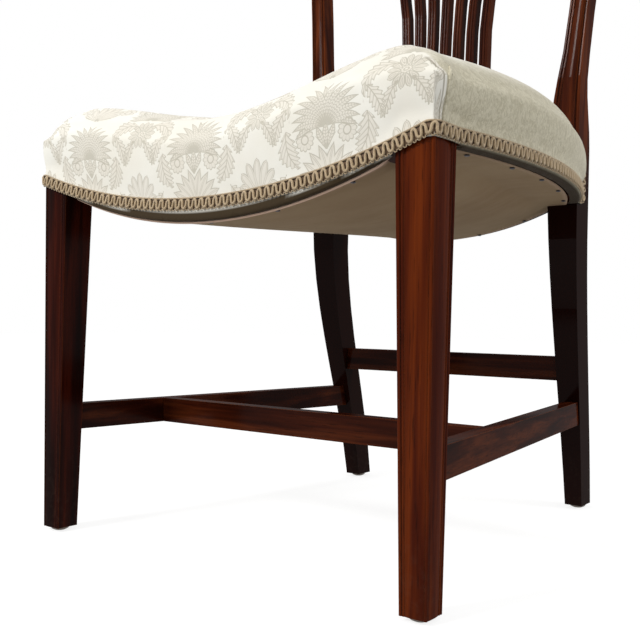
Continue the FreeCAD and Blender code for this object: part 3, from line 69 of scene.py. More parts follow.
lens = bpy.data.cameras.new("camera")
lens.lens = lens.sensor_width * FOCAL_PIXELS / PICTURE
lens.shift_x = (PICTURE / 2 - AXIS_PIXEL[0]) / PICTURE
lens.shift_y = (AXIS_PIXEL[1] - PICTURE / 2) / PICTURE
lens.clip_start, lens.clip_end = 0.05, 60
camera = bpy.data.objects.new("camera", lens)
turn = Matrix((right, up, -ahead)).transposed().to_4x4()
camera.matrix_world = Matrix.Translation(CAMERA_PLACE) @ turn
bpy.context.scene.collection.objects.link(camera)
bpy.context.scene.camera = camera
print("lens", round(lens.lens, 1), "mm, shift", round(lens.shift_x, 4), round(lens.shift_y, 4))

# %% [markdown]
# Shader trees get long when a pattern is drawn in them, so a small pen is made first. Each call adds one Math node
# and gives back its output, and plain numbers go straight into the node's own fields.

# %% A pen for shader maths
class Pen:
    """Adds Math nodes to a tree and wires them up."""

    def __init__(self, tree):
        self.tree = tree

    def add_node(self, kind, **settings):
        node = self.tree.nodes.new(kind)
        for name, setting in settings.items():
            setattr(node, name, setting)
        return node

    def feed(self, socket, source):
        if isinstance(source, bpy.types.NodeSocket):
            self.tree.links.new(source, socket)
        else:
            socket.default_value = source

    def math(self, operation, *sources, clamp=False):
        node = self.add_node("ShaderNodeMath", operation=operation, use_clamp=clamp)
        for socket, source in zip(node.inputs, sources):
            self.feed(socket, source)
        return node.outputs[0]

    def plus(self, a, b):
        return self.math("ADD", a, b)

    def minus(self, a, b):
        return self.math("SUBTRACT", a, b)

    def times(self, a, b):
        return self.math("MULTIPLY", a, b)

    def higher(self, a, b):
        return self.math("MAXIMUM", a, b)

    def lower(self, a, b):
        return self.math("MINIMUM", a, b)

    def size(self, a):
        return self.math("ABSOLUTE", a)

    def soft_step(self, source, start, stop):
        node = self.add_node("ShaderNodeMapRange", interpolation_type="SMOOTHSTEP")
        for socket, item in zip(node.inputs, (source, start, stop, 0.0, 1.0)):
            self.feed(socket, item)
        return node.outputs[0]

    def polar(self, u, v, centre_u, centre_v):
        """Distance from a centre, and the angle away from straight up."""
        du = self.minus(u, centre_u)
        dv = self.minus(v, centre_v)
        radius = self.math("SQRT", self.plus(self.times(du, du), self.times(dv, dv)))
        return radius, self.math("ARCTAN2", du, dv)

    def noise(self, vector, scale, detail=2.0, rough=0.5, distortion=0.0):
        node = self.add_node("ShaderNodeTexNoise")
        for name, item in (("Vector", vector), ("Scale", scale), ("Detail", detail), ("Roughness", rough),
                           ("Distortion", distortion)):
            self.feed(node.inputs[name], item)
        return node.outputs["Fac"]

    def stretched(self, vector, scale):
        node = self.add_node("ShaderNodeMapping")
        self.feed(node.inputs["Vector"], vector)
        self.feed(node.inputs["Scale"], scale)
        return node.outputs["Vector"]

    def blend(self, factor, first, second, kind="MIX"):
        node = self.add_node("ShaderNodeMix", data_type="RGBA", blend_type=kind)
        self.feed(node.inputs[0], factor)
        self.feed(node.inputs[6], first)
        self.feed(node.inputs[7], second)
        return node.outputs[2]

    def ramp(self, source, stops):
        node = self.add_node("ShaderNodeValToRGB")
        ramp = node.color_ramp
        while len(ramp.elements) < len(stops):
            ramp.elements.new(0.5)
        for element, (place, colour) in zip(ramp.elements, stops):
            element.position, element.color = place, colour
        self.feed(node.inputs[0], source)
        return node.outputs[0]

    def bump(self, height, distance, strength=1.0, normal=None):
        node = self.add_node("ShaderNodeBump")
        self.feed(node.inputs["Strength"], strength)
        self.feed(node.inputs["Distance"], distance)
        self.feed(node.inputs["Height"], height)
        if normal is not None:
            self.feed(node.inputs["Normal"], normal)
        return node.outputs["Normal"]


def shader_group(name, inputs, outputs):
    """An empty node group with named float or vector sockets, and the pen to draw in it."""
    tree = bpy.data.node_groups.new(name, "ShaderNodeTree")
    kinds = {"vector": "NodeSocketVector", "number": "NodeSocketFloat", "colour": "NodeSocketColor"}
    for title, kind, start in inputs:
        socket = tree.interface.new_socket(title, in_out="INPUT", socket_type=kinds[kind])
        if start is not None:
            socket.default_value = start
    for title, kind in outputs:
        tree.interface.new_socket(title, in_out="OUTPUT", socket_type=kinds[kind])
    pen = Pen(tree)
    return pen, pen.add_node("NodeGroupInput").outputs, pen.add_node("NodeGroupOutput").inputs


def linear(red, green, blue, alpha=1.0):
    """A colour as it is seen on the screen, 0 to 255, turned into the linear values that shaders use."""
    def one(c):
        c /= 255
        return c / 12.92 if c <= 0.04045 else ((c + 0.055) / 1.055) ** 2.4
    return (one(red), one(green), one(blue), alpha)


def new_material(name, **settings):
    """A material with one Principled BSDF: gives it, its shader and a pen. Settings are plain sockets."""
    material = bpy.data.materials.new(name)
    material.use_nodes = True
    shader = material.node_tree.nodes["Principled BSDF"]
    for title, setting in settings.items():
        shader.inputs[title.replace("_", " ")].default_value = setting
    return material, shader, Pen(material.node_tree)


def object_place(pen):
    """Where a point lies on the object, in metres."""
    return pen.add_node("ShaderNodeTexCoord").outputs["Object"]


def attribute(pen, name):
    """The value that a mesh carries under a name."""
    return pen.add_node("ShaderNodeAttribute", attribute_name=name).outputs["Fac"]


def use_group(pen, name, **sources):
    """Places a shader group and feeds its inputs."""
    node = pen.add_node("ShaderNodeGroup", node_tree=bpy.data.node_groups[name])
    for title, source in sources.items():
        pen.feed(node.inputs[title], source)
    return node.outputs


print("pen ready")

# %% [markdown]
# The chair's frame is mahogany under an old, dark, polished varnish. Up close such wood has three layers of figure:
# broad ribbons that come and go as the light moves, fine straight grain along the board, and short dark pores.
# The group takes coordinates that are already stretched along the board, so one group serves legs, rails and bars.

# %% Mahogany figure as a node group
pen, given, wanted = shader_group("wood_figure", [("Place", "vector", None), ("Ribbon", "number", 1.0)],
                                  [("Ribbon", "number"), ("Grain", "number"), ("Pores", "number")])
place = given["Place"]
ribbon = pen.noise(pen.stretched(place, (16.0, 16.0, 0.9)), 4.0, 3.0, 0.5, 0.3)
streak = pen.noise(pen.stretched(place, (80.0, 80.0, 1.2)), 4.0, 4.0, 0.6, 0.2)
pore = pen.noise(pen.stretched(place, (420.0, 420.0, 16.0)), 2.0, 2.0, 0.5)
pen.feed(wanted["Ribbon"], pen.soft_step(pen.times(ribbon, given["Ribbon"]), 0.32, 0.68))
pen.feed(wanted["Grain"], pen.soft_step(streak, 0.3, 0.72))
pen.feed(wanted["Pores"], pen.soft_step(pore, 0.60, 0.72))
print("wood_figure:", len(pen.tree.nodes), "nodes")

# %% [markdown]
# Old polish is never even. It gathers dark in the quirks between the mouldings, and it is rubbed thin and golden
# on the outer edges. Ambient occlusion finds the hollows, and the Bevel node finds the edges: near an edge, its
# rounded normal turns away from the face's own. Both come from the shape, so they stay put from every side.

# %% Wear and dust as a node group
pen, given, wanted = shader_group("wear_and_dust", [("Place", "vector", None)],
                                  [("Scuffs", "number"), ("Dust", "number"), ("Hollow", "number"),
                                   ("Edge", "number"), ("Normal", "vector")])
scuff = pen.noise(given["Place"], 55.0, 5.0, 0.65)
low = pen.add_node("ShaderNodeSeparateXYZ")
pen.feed(low.inputs[0], given["Place"])
near_floor = pen.soft_step(low.outputs["Z"], 0.14, 0.0)
speck = pen.noise(given["Place"], 130.0, 3.0, 0.6)
pen.feed(wanted["Scuffs"], pen.soft_step(scuff, 0.60, 0.74))
pen.feed(wanted["Dust"], pen.times(near_floor, pen.soft_step(speck, 0.45, 0.75)))
shelter = pen.add_node("ShaderNodeAmbientOcclusion", samples=4, only_local=True)
shelter.inputs["Distance"].default_value = 0.005
hollow = pen.soft_step(shelter.outputs["AO"], 0.985, 0.84)
pen.feed(wanted["Hollow"], hollow)
rounding = pen.add_node("ShaderNodeBevel", samples=4)
rounding.inputs["Radius"].default_value = 0.0011
pen.feed(wanted["Normal"], rounding.outputs[0])
own = pen.add_node("ShaderNodeNewGeometry").outputs["True Normal"]
turned = pen.add_node("ShaderNodeVectorMath", operation="DOT_PRODUCT")
pen.feed(turned.inputs[0], rounding.outputs[0])
pen.feed(turned.inputs[1], own)
edge = pen.soft_step(turned.outputs["Value"], 0.985, 0.90)
pen.feed(wanted["Edge"], pen.times(edge, pen.minus(1.0, hollow)))
print("wear_and_dust:", len(pen.tree.nodes), "nodes")

# %% [markdown]
# Boards differ. The near front leg and the stiles are the warmest, the far front leg and the stretchers are dark,
# and the rear legs are painted darker below the seat, as painted shade under it. The shine is kept low, because old
# varnish only glints along the mouldings and leaves the flat faces deep in colour.

# %% Mahogany by board
def mahogany(name, along, shades, shade_below_seat=False):
    """Mahogany whose grain runs along one axis: along turns the board's length onto Z."""
    dark, middle, light = shades
    material, shader, pen = new_material(name, Specular_IOR_Level=0.0, Coat_Weight=0.08, Coat_Roughness=0.15)
    place = object_place(pen)
    board = pen.add_node("ShaderNodeMapping")
    pen.feed(board.inputs["Vector"], place)
    board.inputs["Rotation"].default_value = along
    figure = use_group(pen, "wood_figure", Place=board.outputs[0], Ribbon=1.0)
    wear = use_group(pen, "wear_and_dust", Place=place)
    body = pen.ramp(figure["Ribbon"], [(0.0, dark), (0.55, middle), (1.0, light)])
    grained = pen.blend(pen.times(figure["Grain"], 0.5), body, dark)
    pored = pen.blend(pen.times(figure["Pores"], 0.6), grained, linear(24, 6, 2))
    golden = pen.blend(pen.times(wear["Edge"], 0.6), pored, linear(134, 66, 22))
    rubbed_and_shaded = pen.blend(pen.times(wear["Scuffs"], 0.10), golden, light)
    if shade_below_seat:
        # Below the seat the posts are blended to a near black brown: painted shade under the seat.
        height = pen.add_node("ShaderNodeSeparateXYZ")
        pen.feed(height.inputs[0], place)
        rubbed_and_shaded = pen.blend(pen.soft_step(height.outputs["Z"], 0.50, 0.40), rubbed_and_shaded, linear(30, 9, 5))
    sunk = pen.blend(pen.times(wear["Hollow"], 0.85), rubbed_and_shaded, linear(16, 3, 2))
    dusted = pen.blend(pen.times(wear["Dust"], 0.06), sunk, linear(110, 92, 78))
    pen.feed(shader.inputs["Base Color"], dusted)
    rough = pen.plus(0.20, pen.times(figure["Pores"], 0.2))
    pen.feed(shader.inputs["Roughness"], pen.plus(rough, pen.times(wear["Scuffs"], 0.14)))
    rise = pen.minus(pen.times(figure["Grain"], 0.4), figure["Pores"])
    pen.feed(shader.inputs["Normal"], pen.bump(rise, 0.00010, 0.5, wear["Normal"]))
    return material


ACROSS_X, ALONG_Y, UP_Z = (0, math.pi / 2, 0), (math.pi / 2, 0, 0), (0, 0, 0)
WARM = (linear(60, 16, 4), linear(86, 31, 6), linear(108, 44, 10))
DARK = (linear(22, 5, 3), linear(46, 11, 5), linear(70, 22, 9))
RUBBED = (linear(48, 15, 6), linear(78, 32, 12), linear(104, 48, 20))
MELLOW = (linear(34, 10, 5), linear(60, 22, 9), linear(88, 40, 18))

BOARDS = {
    "mahogany_leg": (UP_Z, WARM, ["front_leg_right"]),
    "mahogany_leg_dark": (UP_Z, DARK, ["front_leg_left"]),
    "mahogany_post": (UP_Z, RUBBED, ["back_post_left", "back_post_right"]),
    "mahogany_bar": (UP_Z, MELLOW, [f"splat_bar_{number}" for number in range(1, 8)]),
    "mahogany_cross": (ACROSS_X, MELLOW, ["crest_rail", "shoe", "front_rail", "rear_rail", "medial_stretcher",
                                          "rear_stretcher"]),
    "mahogany_side": (ALONG_Y, MELLOW, ["side_rail_left", "side_rail_right", "side_stretcher_left",
                                        "side_stretcher_right"]),
}


def finish_nodes(names, material):
    """Gives CAD nodes a finish, in every material slot they have."""
    for name in names:
        slots = nodes[name].data.materials
        if not slots:
            slots.append(material)
        for number in range(len(slots)):
            slots[number] = material


for name, (along, shades, names) in BOARDS.items():
    finish_nodes(names, mahogany(name, along, shades, shade_below_seat=name == "mahogany_post"))
print(sum(len(names) for along, shades, names in BOARDS.values()), "pieces in mahogany")

# %% [markdown]
# Inside the seat frame four beech blocks brace the corners, held by steel screws. Beech is pale and even, with
# short darker flecks. Under the feet sit domed metal glides, dull and scratched from the floor.

# %% Beech, steel and glide metal
beech, shader, pen = new_material("beech", Roughness=0.6)
place = object_place(pen)
figure = use_group(pen, "wood_figure", Place=pen.stretched(place, (1.0, 0.3, 3.0)), Ribbon=1.0)
pale = pen.ramp(figure["Ribbon"], [(0.0, linear(176, 134, 92)), (1.0, linear(205, 168, 124))])
pen.feed(shader.inputs["Base Color"], pen.blend(pen.times(figure["Pores"], 0.5), pale, linear(122, 84, 54)))
pen.feed(shader.inputs["Normal"], pen.bump(figure["Grain"], 0.0001, 0.5))
finish_nodes([name for name in nodes if name.startswith("corner_block_") and name != "corner_block_screws"], beech)


def metal(name, colour, rough, scratch):
    """Metal with scratches and dull patches."""
    material, shader, pen = new_material(name, Metallic=1.0, Base_Color=colour)
    place = object_place(pen)
    patches = pen.noise(place, 260.0, 4.0, 0.6)
    lines = pen.noise(pen.stretched(place, (900.0, 140.0, 900.0)), 2.0, 2.0, 0.5)
    pen.feed(shader.inputs["Roughness"], pen.plus(rough, pen.times(patches, 0.25)))
    stained = pen.blend(pen.times(pen.soft_step(patches, 0.5, 0.75), 0.5), colour, linear(48, 40, 34))
    pen.feed(shader.inputs["Base Color"], stained)
    pen.feed(shader.inputs["Normal"], pen.bump(lines, 0.00006, scratch))
    return material


steel = metal("steel", linear(150, 146, 140), 0.32, 0.4)
blued_steel = metal("blued_steel", linear(70, 68, 70), 0.35, 0.4)
glide_metal = metal("glide_metal", linear(96, 88, 80), 0.28, 0.6)
finish_nodes(["corner_block_screws"], steel)
finish_nodes([name for name in nodes if name.startswith("glide_")], glide_metal)
print("beech, steel and glide metal")

# %% [markdown]
# The seat is covered with damask: one pale colour of thread, whose figure shows as fine matt outlines on a shining
# ground. The figure is an old palmette: a spray of fronds over a pair of round flowers, a fan of petals below,
# serrated leaves outside, and a smaller fan between two palmettes. It is symmetrical, so one half is drawn and
# mirrored. Each motif is a formula for how deep a place lies inside it, in millimetres: that depth gives a faint
# fill, and an outline where it passes zero.

# %% Petals, flowers and leaves in shader maths
REPEAT_ACROSS, REPEAT_UP = 162.0, 150.0
REPEAT_FOOT = -50.0
LINE_WIDTH = 0.4


def outlined(pen, depth):
    """Fill and outline of a motif from the depth inside it."""
    fill = pen.soft_step(depth, -0.2, 0.5)
    return fill, pen.soft_step(pen.size(depth), LINE_WIDTH + 0.45, LINE_WIDTH - 0.25)


def petal_fan(pen, u, v, root, start, reach, petals, spread, width, curl=0.0, droop=0.0, veins="middle"):
    """A fan of petals round a root: the outer ones may be shorter and bent outwards. Veins: middle, feather, drop."""
    radius, angle = pen.polar(u, v, *root)
    if curl:
        angle = pen.minus(angle, pen.times(pen.times(radius, curl), pen.math("SIGN", angle)))
    step = 2 * spread / (petals - 1)
    local = pen.math("WRAP", angle, step / 2, -step / 2)
    lateral = pen.size(pen.times(radius, local))
    turn = pen.times(pen.minus(angle, local), 1 / spread)
    length = pen.times(pen.minus(1.0, pen.times(pen.times(turn, turn), droop)), reach)
    share = pen.math("DIVIDE", pen.minus(radius, start), pen.minus(length, start), clamp=True)
    if veins == "drop":
        tip = pen.math("SQRT", pen.minus(1.0, share))
        profile = pen.times(pen.times(share, tip), 2.6 * width)
    else:
        profile = pen.times(pen.math("SINE", pen.times(pen.math("POWER", share, 1.3), math.pi)), width)
    aside = pen.times(pen.minus(spread + step / 2, pen.size(angle)), 12.0)
    ends = pen.lower(pen.minus(length, radius), pen.minus(radius, start))
    depth = pen.lower(pen.lower(pen.minus(profile, lateral), aside), pen.plus(ends, 0.3))
    fill, line = outlined(pen, depth)
    if veins == "feather":
        barbs = pen.math("COSINE", pen.minus(pen.times(radius, 2.3), pen.times(lateral, 1.5)))
        inner = pen.higher(pen.soft_step(barbs, 0.25, 0.85), pen.soft_step(lateral, 0.5, 0.1))
    elif veins == "drop":
        inner = pen.soft_step(pen.size(pen.minus(depth, 1.7)), 0.5, 0.1)
    else:
        inner = pen.soft_step(pen.size(pen.minus(lateral, 0.7)), 0.5, 0.1)
    return fill, pen.higher(line, pen.times(pen.times(fill, inner), 0.75))


def flower(pen, u, v, centre, reach, petals):
    """A round flower: scalloped rim, lines between its petals, and an eye."""
    radius, angle = pen.polar(u, v, *centre)
    scallop = pen.size(pen.math("COSINE", pen.times(angle, petals / 2)))
    depth = pen.minus(pen.times(pen.plus(pen.times(scallop, 0.18), 0.84), reach), radius)
    fill, line = outlined(pen, depth)
    eye = pen.soft_step(pen.size(pen.minus(radius, reach * 0.4)), 0.95, 0.2)
    between = pen.times(pen.soft_step(scallop, 0.22, 0.05), pen.soft_step(radius, reach * 0.4, reach * 0.5))
    return fill, pen.higher(line, pen.times(fill, pen.higher(eye, pen.times(between, 0.8))))


def serrated_leaf(pen, u, v, centre, wide, tall, lean, teeth, bend=0.012):
    """A leaf with a toothed rim, a midrib and slanting veins, leaning and bending outwards."""
    du, dv = pen.minus(u, centre[0]), pen.minus(v, centre[1])
    along = pen.plus(pen.times(dv, math.cos(lean)), pen.times(du, math.sin(lean)))
    across = pen.minus(pen.times(du, math.cos(lean)), pen.times(dv, math.sin(lean)))
    off = pen.size(pen.plus(across, pen.times(pen.times(along, along), bend)))
    slim = pen.minus(1.0, pen.math("POWER", pen.size(pen.times(along, 1 / tall)), 2.2))
    tooth = pen.times(pen.math("COSINE", pen.plus(pen.times(along, teeth), pen.times(off, 0.6))), 0.17)
    fill, line = outlined(pen, pen.minus(pen.times(pen.plus(slim, tooth), wide), off))
    vein = pen.math("COSINE", pen.plus(pen.times(along, teeth), pen.times(off, 1.4)))
    inner = pen.higher(pen.times(pen.soft_step(vein, 0.35, 0.9), 0.7), pen.soft_step(off, 0.7, 0.2))
    return fill, pen.higher(line, pen.times(fill, inner))


print("three kinds of motif")

# %% Damask figure as a node group
pen, given, wanted = shader_group("damask_figure", [("Cloth", "vector", None)],
                                  [("Figure", "number"), ("Lines", "number"), ("Thread", "number")])
cloth = pen.add_node("ShaderNodeSeparateXYZ")
pen.feed(cloth.inputs[0], pen.stretched(given["Cloth"], (1000.0, 1000.0, 1000.0)))
across, upward = cloth.outputs["X"], cloth.outputs["Y"]
wobble = pen.noise(given["Cloth"], 60.0, 2.0)
across = pen.plus(across, pen.times(pen.minus(wobble, 0.5), 1.8))
u = pen.size(pen.math("WRAP", across, REPEAT_ACROSS / 2, -REPEAT_ACROSS / 2))
v = pen.math("WRAP", upward, REPEAT_UP + REPEAT_FOOT, REPEAT_FOOT)
w = pen.minus(REPEAT_ACROSS / 2, u)
drawn = [
    petal_fan(pen, u, v, (0.0, 7.0), 3.0, 41.0, 11, 1.20, 3.1, 0.015, 0.18, "feather"),
    petal_fan(pen, u, v, (0.0, -13.0), 2.0, 24.0, 3, 0.42, 3.0, 0.0, 0.0, "feather"),
    petal_fan(pen, u, v, (0.0, -44.0), 2.0, 37.0, 9, 1.20, 4.4, 0.006, 0.12),
    flower(pen, u, v, (23.0, 0.0), 9.8, 12),
    serrated_leaf(pen, u, v, (43.0, -8.0), 9.5, 18.0, 0.35, 1.1, 0.016),
    serrated_leaf(pen, u, v, (54.0, 18.0), 6.0, 17.0, -0.45, 1.25),
    serrated_leaf(pen, u, v, (50.0, 44.0), 7.5, 21.0, 0.95, 1.1, -0.03),
    petal_fan(pen, w, v, (0.0, -42.0), 3.0, 35.0, 7, 1.05, 4.2, 0.0, 0.3, "drop"),
    serrated_leaf(pen, w, v, (25.0, -37.0), 5.5, 13.0, 0.9, 1.3),
    petal_fan(pen, w, v, (0.0, 36.0), 5.0, 17.0, 13, 2.9, 2.6, 0.0, 0.0, "drop"),
    flower(pen, w, v, (0.0, 36.0), 5.0, 8),
    serrated_leaf(pen, w, v, (16.0, 15.0), 5.0, 14.0, -0.5, 1.3),
    petal_fan(pen, w, v, (0.0, 55.0), 3.0, 36.0, 11, 1.20, 2.9, 0.012, 0.2, "feather"),
    petal_fan(pen, u, v, (0.0, 54.0), 2.0, 36.0, 7, 1.1, 4.2, 0.0, 0.2, "drop"),
    flower(pen, u, v, (31.0, 76.0), 9.0, 10),
    serrated_leaf(pen, w, v, (30.0, 84.0), 7.5, 15.0, 0.35, 1.1),
]
figure, lines = drawn[0]
for mask, detail in drawn[1:]:
    figure, lines = pen.higher(figure, mask), pen.higher(lines, detail)
warp = pen.add_node("ShaderNodeTexWave", bands_direction="Y")
for title, item in (("Vector", given["Cloth"]), ("Scale", 620.0), ("Distortion", 1.2), ("Detail", 1.0)):
    pen.feed(warp.inputs[title], item)
slub = pen.noise(pen.stretched(given["Cloth"], (90.0, 1400.0, 90.0)), 1.0, 3.0, 0.6)
pen.feed(wanted["Figure"], figure)
pen.feed(wanted["Lines"], lines)
pen.feed(wanted["Thread"], pen.plus(pen.times(warp.outputs["Fac"], 0.5), pen.times(slub, 0.5)))
print("damask_figure:", len(pen.tree.nodes), "nodes,", len(drawn), "motifs")

# %% Damask material
PLEAT_PLACE, CREASE_PLACE = -0.2640, -0.2672
damask, shader, pen = new_material("damask", Roughness=0.5, Sheen_Weight=0.06, Sheen_Roughness=0.4,
                                   Specular_IOR_Level=0.1)
cloth = pen.add_node("ShaderNodeUVMap", uv_map="cloth").outputs[0]
place = object_place(pen)
corner = pen.add_node("ShaderNodeSeparateXYZ")
pen.feed(corner.inputs[0], place)
behind = pen.soft_step(corner.outputs["Y"], PLEAT_PLACE - 0.0004, PLEAT_PLACE + 0.0004)
side = attribute(pen, "side")
show = pen.minus(1.0, pen.times(pen.times(side, behind), 0.9))
painted_edge_shade = attribute(pen, "soil_and_shade")
drawn = use_group(pen, "damask_figure", Cloth=cloth)
fill, lines = pen.times(drawn["Figure"], show), pen.times(drawn["Lines"], show)
age = pen.noise(place, 9.0, 3.0, 0.6)
ground = pen.blend(pen.soft_step(age, 0.35, 0.7), linear(252, 250, 241), linear(246, 242, 230))
filled = pen.blend(pen.times(fill, 0.38), ground, linear(226, 217, 202))
coloured = pen.blend(pen.times(lines, 0.68), filled, linear(184, 178, 160))
crinkle = pen.noise(pen.stretched(cloth, (150.0, 210.0, 150.0)), 1.0, 4.0, 0.62, 1.8)
# On the sides the figure fades and the cloth is painted darker and greener: painted shade.
shaded_side_cloth = pen.blend(pen.soft_step(crinkle, 0.38, 0.62), linear(190, 182, 154), linear(216, 209, 184))
plain = pen.blend(pen.minus(1.0, show), coloured, shaded_side_cloth)
threaded = pen.blend(pen.times(drawn["Thread"], 0.08), plain, linear(176, 168, 146))
# A thin dark line beside the pleat is a painted shadow of the fold.
crease_shadow = pen.soft_step(pen.size(pen.minus(corner.outputs["Y"], CREASE_PLACE)), 0.0012, 0.0003)
crease_shadow = pen.times(crease_shadow, pen.soft_step(pen.size(corner.outputs["X"]), 0.240, 0.250))
crease_shadowed = pen.blend(pen.times(crease_shadow, 0.6), threaded, linear(120, 108, 84))
# The turned-under lower edges of the cover are painted dark brown: painted shade below the braid and the rails.
pen.feed(shader.inputs["Base Color"], pen.blend(painted_edge_shade, crease_shadowed, linear(66, 54, 38)))
rough = pen.plus(0.5, pen.times(fill, 0.2))
pen.feed(shader.inputs["Roughness"], pen.plus(rough, pen.times(painted_edge_shade, 0.3)))
weave = pen.minus(pen.times(drawn["Thread"], 0.35), pen.plus(pen.times(fill, 0.3), pen.times(lines, 0.6)))
crinkled = pen.bump(pen.times(crinkle, pen.minus(1.0, show)), 0.0016, 0.7)
pen.feed(shader.inputs["Normal"], pen.bump(weave, 0.0004, 0.55, crinkled))
print("damask:", len(pen.tree.nodes), "nodes")

# %% [markdown]
# The seat is stuffed over the rails: the cover comes up the faces of the rails, swells a little, rolls over the
# edge and dips in the middle, like a saddle. Its form follows one grid of points. The grid's middle is the top,
# its outer bands are the rolls, and its rim is carried down as a skirt to the lower edge of the rails.
# The plan comes from the frame: straight across the legs, bowed along the sides, narrower at the back posts.

# %% Seat measures
LEG_FRONT, LEG_BACK = -0.2733, -0.2353
POST_FRONT, SEAT_REAR = 0.1677, 0.1833
HALF_FRONT, HALF_REAR = 0.257, 0.2065
LEG_INNER, POST_INNER = 0.219, 0.168
SIDE_BOW = 0.033
FRONT_RAIL_DROP = 0.009
FRONT_DISH, REAR_DISH, REAR_TOP_DISH = 0.043, 0.035, 0.032
RAIL_BOTTOM, FRAME_TOP = 0.398, 0.447
RAIL_THICKNESS, REAR_SETBACK = 0.024, 0.006
LAY = 0.002
COVER_THICKNESS = 0.0014
SIDE_BAND, FRONT_BAND, REAR_BAND = 0.044, 0.028, 0.014
SIDE_ROLL, FRONT_ROLL, REAR_ROLL = 0.034, 0.027, 0.013
CREST, BACK_FALL, SIDE_RISE, SEAT_DIP = 0.481, 0.014, 0.006, 0.031
SWELL = 0.006
BRAID_ROOM = 0.022
POST_PLAY = 0.0006


def bowed_side(y):
    """X of the side rails' outer face."""
    if y <= LEG_BACK:
        return HALF_FRONT
    if y >= POST_FRONT:
        return HALF_REAR
    half = math.hypot(POST_FRONT - LEG_BACK, HALF_FRONT - HALF_REAR) / 2
    radius = (half ** 2 + SIDE_BOW ** 2) / (2 * SIDE_BOW)
    slant = math.atan2(HALF_FRONT - HALF_REAR, POST_FRONT - LEG_BACK)
    centre_x = (HALF_FRONT + HALF_REAR) / 2 - (radius - SIDE_BOW) * math.cos(slant)
    centre_y = (LEG_BACK + POST_FRONT) / 2 - (radius - SIDE_BOW) * math.sin(slant)
    return centre_x + math.sqrt(radius ** 2 - (y - centre_y) ** 2)


def dish(half, depth, x):
    """How far a dished edge lies below its ends, at a place across the seat."""
    if abs(x) >= half:
        return 0.0
    radius = (half ** 2 + depth ** 2) / (2 * depth)
    return math.sqrt(radius ** 2 - x ** 2) - (radius - depth)


def front_foot(x):
    """Height of the front rail's lower edge."""
    return RAIL_BOTTOM - FRONT_RAIL_DROP - dish(LEG_INNER, FRONT_DISH, x) if abs(x) < LEG_INNER else RAIL_BOTTOM


def clamped(share):
    return min(1.0, max(0.0, share))


def evenly(count, low, high):
    return [low + (high - low) * n / (count - 1) for n in range(count)]


def rail_share(y):
    """0 at the inner face of the front rail, 1 at the front of the rear rail."""
    start = LEG_FRONT + RAIL_THICKNESS
    return clamped((y - start) / (POST_FRONT + REAR_SETBACK - start))


def between_posts(share):
    """Half the width between the legs in front, and between the posts behind."""
    return LEG_INNER + (POST_INNER - LEG_INNER) * share


def braid_foot(x):
    """Height of the cover's lower edge along the front."""
    return RAIL_BOTTOM - dish(HALF_FRONT - 0.005, FRONT_DISH, x)


def top_height(x, y):
    """Height of the seat's top before its edges roll over."""
    share = clamped((y - LEG_BACK) / (POST_FRONT - LEG_BACK))
    crest = CREST - BACK_FALL * share ** 3 + SIDE_RISE * math.sin(math.pi * share)
    inner = bowed_side(y) + LAY - SIDE_BAND * 0.7
    across = min(1.0, abs(x) / inner)
    return crest - SEAT_DIP * (0.5 + 0.5 * math.cos(math.pi * across))


print("seat is", round(2 * HALF_FRONT, 3), "wide in front,", round(2 * bowed_side(-0.05), 3), "at the widest")

# %% [markdown]
# The grid is finer where the surface turns. A place in it is given by two shares: 0 in the flat middle, rising
# to 1 at the rim through the band of the roll. In a corner both shares rise together, and the square corner is
# drawn in towards a quarter circle, more at the top of the roll and hardly at the foot, as over a leg's top.

# %% The grid of the seat
ROLL_STEPS = 7
TOP_ACROSS, TOP_ALONG = 52, 44


def spaced(count, low, high):
    """Places along one axis with the shares of both bands: middle first, then the rolls by angle."""
    middle = [low + (high - low) * n / count for n in range(count + 1)]
    roll = [math.sin(math.pi / 2 * n / ROLL_STEPS) for n in range(1, ROLL_STEPS + 1)]
    return [(low, -share) for share in reversed(roll)] + [(place, 0.0) for place in middle] + \
        [(high, share) for share in roll]


ACROSS = spaced(TOP_ACROSS, -1.0, 1.0)
ALONG = spaced(TOP_ALONG, LEG_FRONT - LAY + FRONT_BAND, SEAT_REAR - REAR_BAND)


def rounded(share_x, share_y, square):
    """Shares drawn in towards a quarter circle, or kept square, and the distance that the roll follows."""
    disc_x = share_x * math.sqrt(1 - share_y ** 2 / 2)
    disc_y = share_y * math.sqrt(1 - share_x ** 2 / 2)
    radius = min(1.0, math.hypot(disc_x, disc_y))
    return (disc_x + (share_x - disc_x) * square, disc_y + (share_y - disc_y) * square, radius)


def plan_point(column, row, square):
    """X, Y and roll share of a grid place."""
    (across, share_x), (along, share_y) = ACROSS[column], ALONG[row]
    near_x, near_y, radius = rounded(share_x, share_y, square)
    band_y = FRONT_BAND if share_y < 0 else REAR_BAND
    y = along + near_y * band_y
    width = bowed_side(y) + LAY
    x = across * (width - SIDE_BAND) + near_x * SIDE_BAND
    return x, y, radius


def roll_drop(row, column, radius):
    """Depth of the roll at the rim: shallow at the sides, deeper in front."""
    share_x, share_y = abs(ACROSS[column][1]), ALONG[row][1]
    depth_y = FRONT_ROLL if share_y < 0 else REAR_ROLL
    total = share_x + abs(share_y)
    depth = (SIDE_ROLL * share_x + depth_y * abs(share_y)) / total if total else 0.0
    return depth * (1 - math.sqrt(max(0.0, 1 - radius ** 2)))


def rim_walk():
    """The grid's rim, once round from the left rear corner."""
    last_x, last_y = len(ACROSS) - 1, len(ALONG) - 1
    walk = [(0, row) for row in range(last_y, 0, -1)]
    walk += [(column, 0) for column in range(0, last_x)]
    walk += [(last_x, row) for row in range(0, last_y)]
    walk += [(column, last_y) for column in range(last_x, 0, -1)]
    return walk


SKIRT_STEPS = 11
CORNER_TOP, CORNER_FOOT = 0.52, 0.87
FLAP_DROP = 0.0016
FLAP_ROWS = 3
FLAP_STEPS = {"side": (0.0050, 0.0095, 0.0135), "front": (0.0032, 0.0044, 0.0056)}


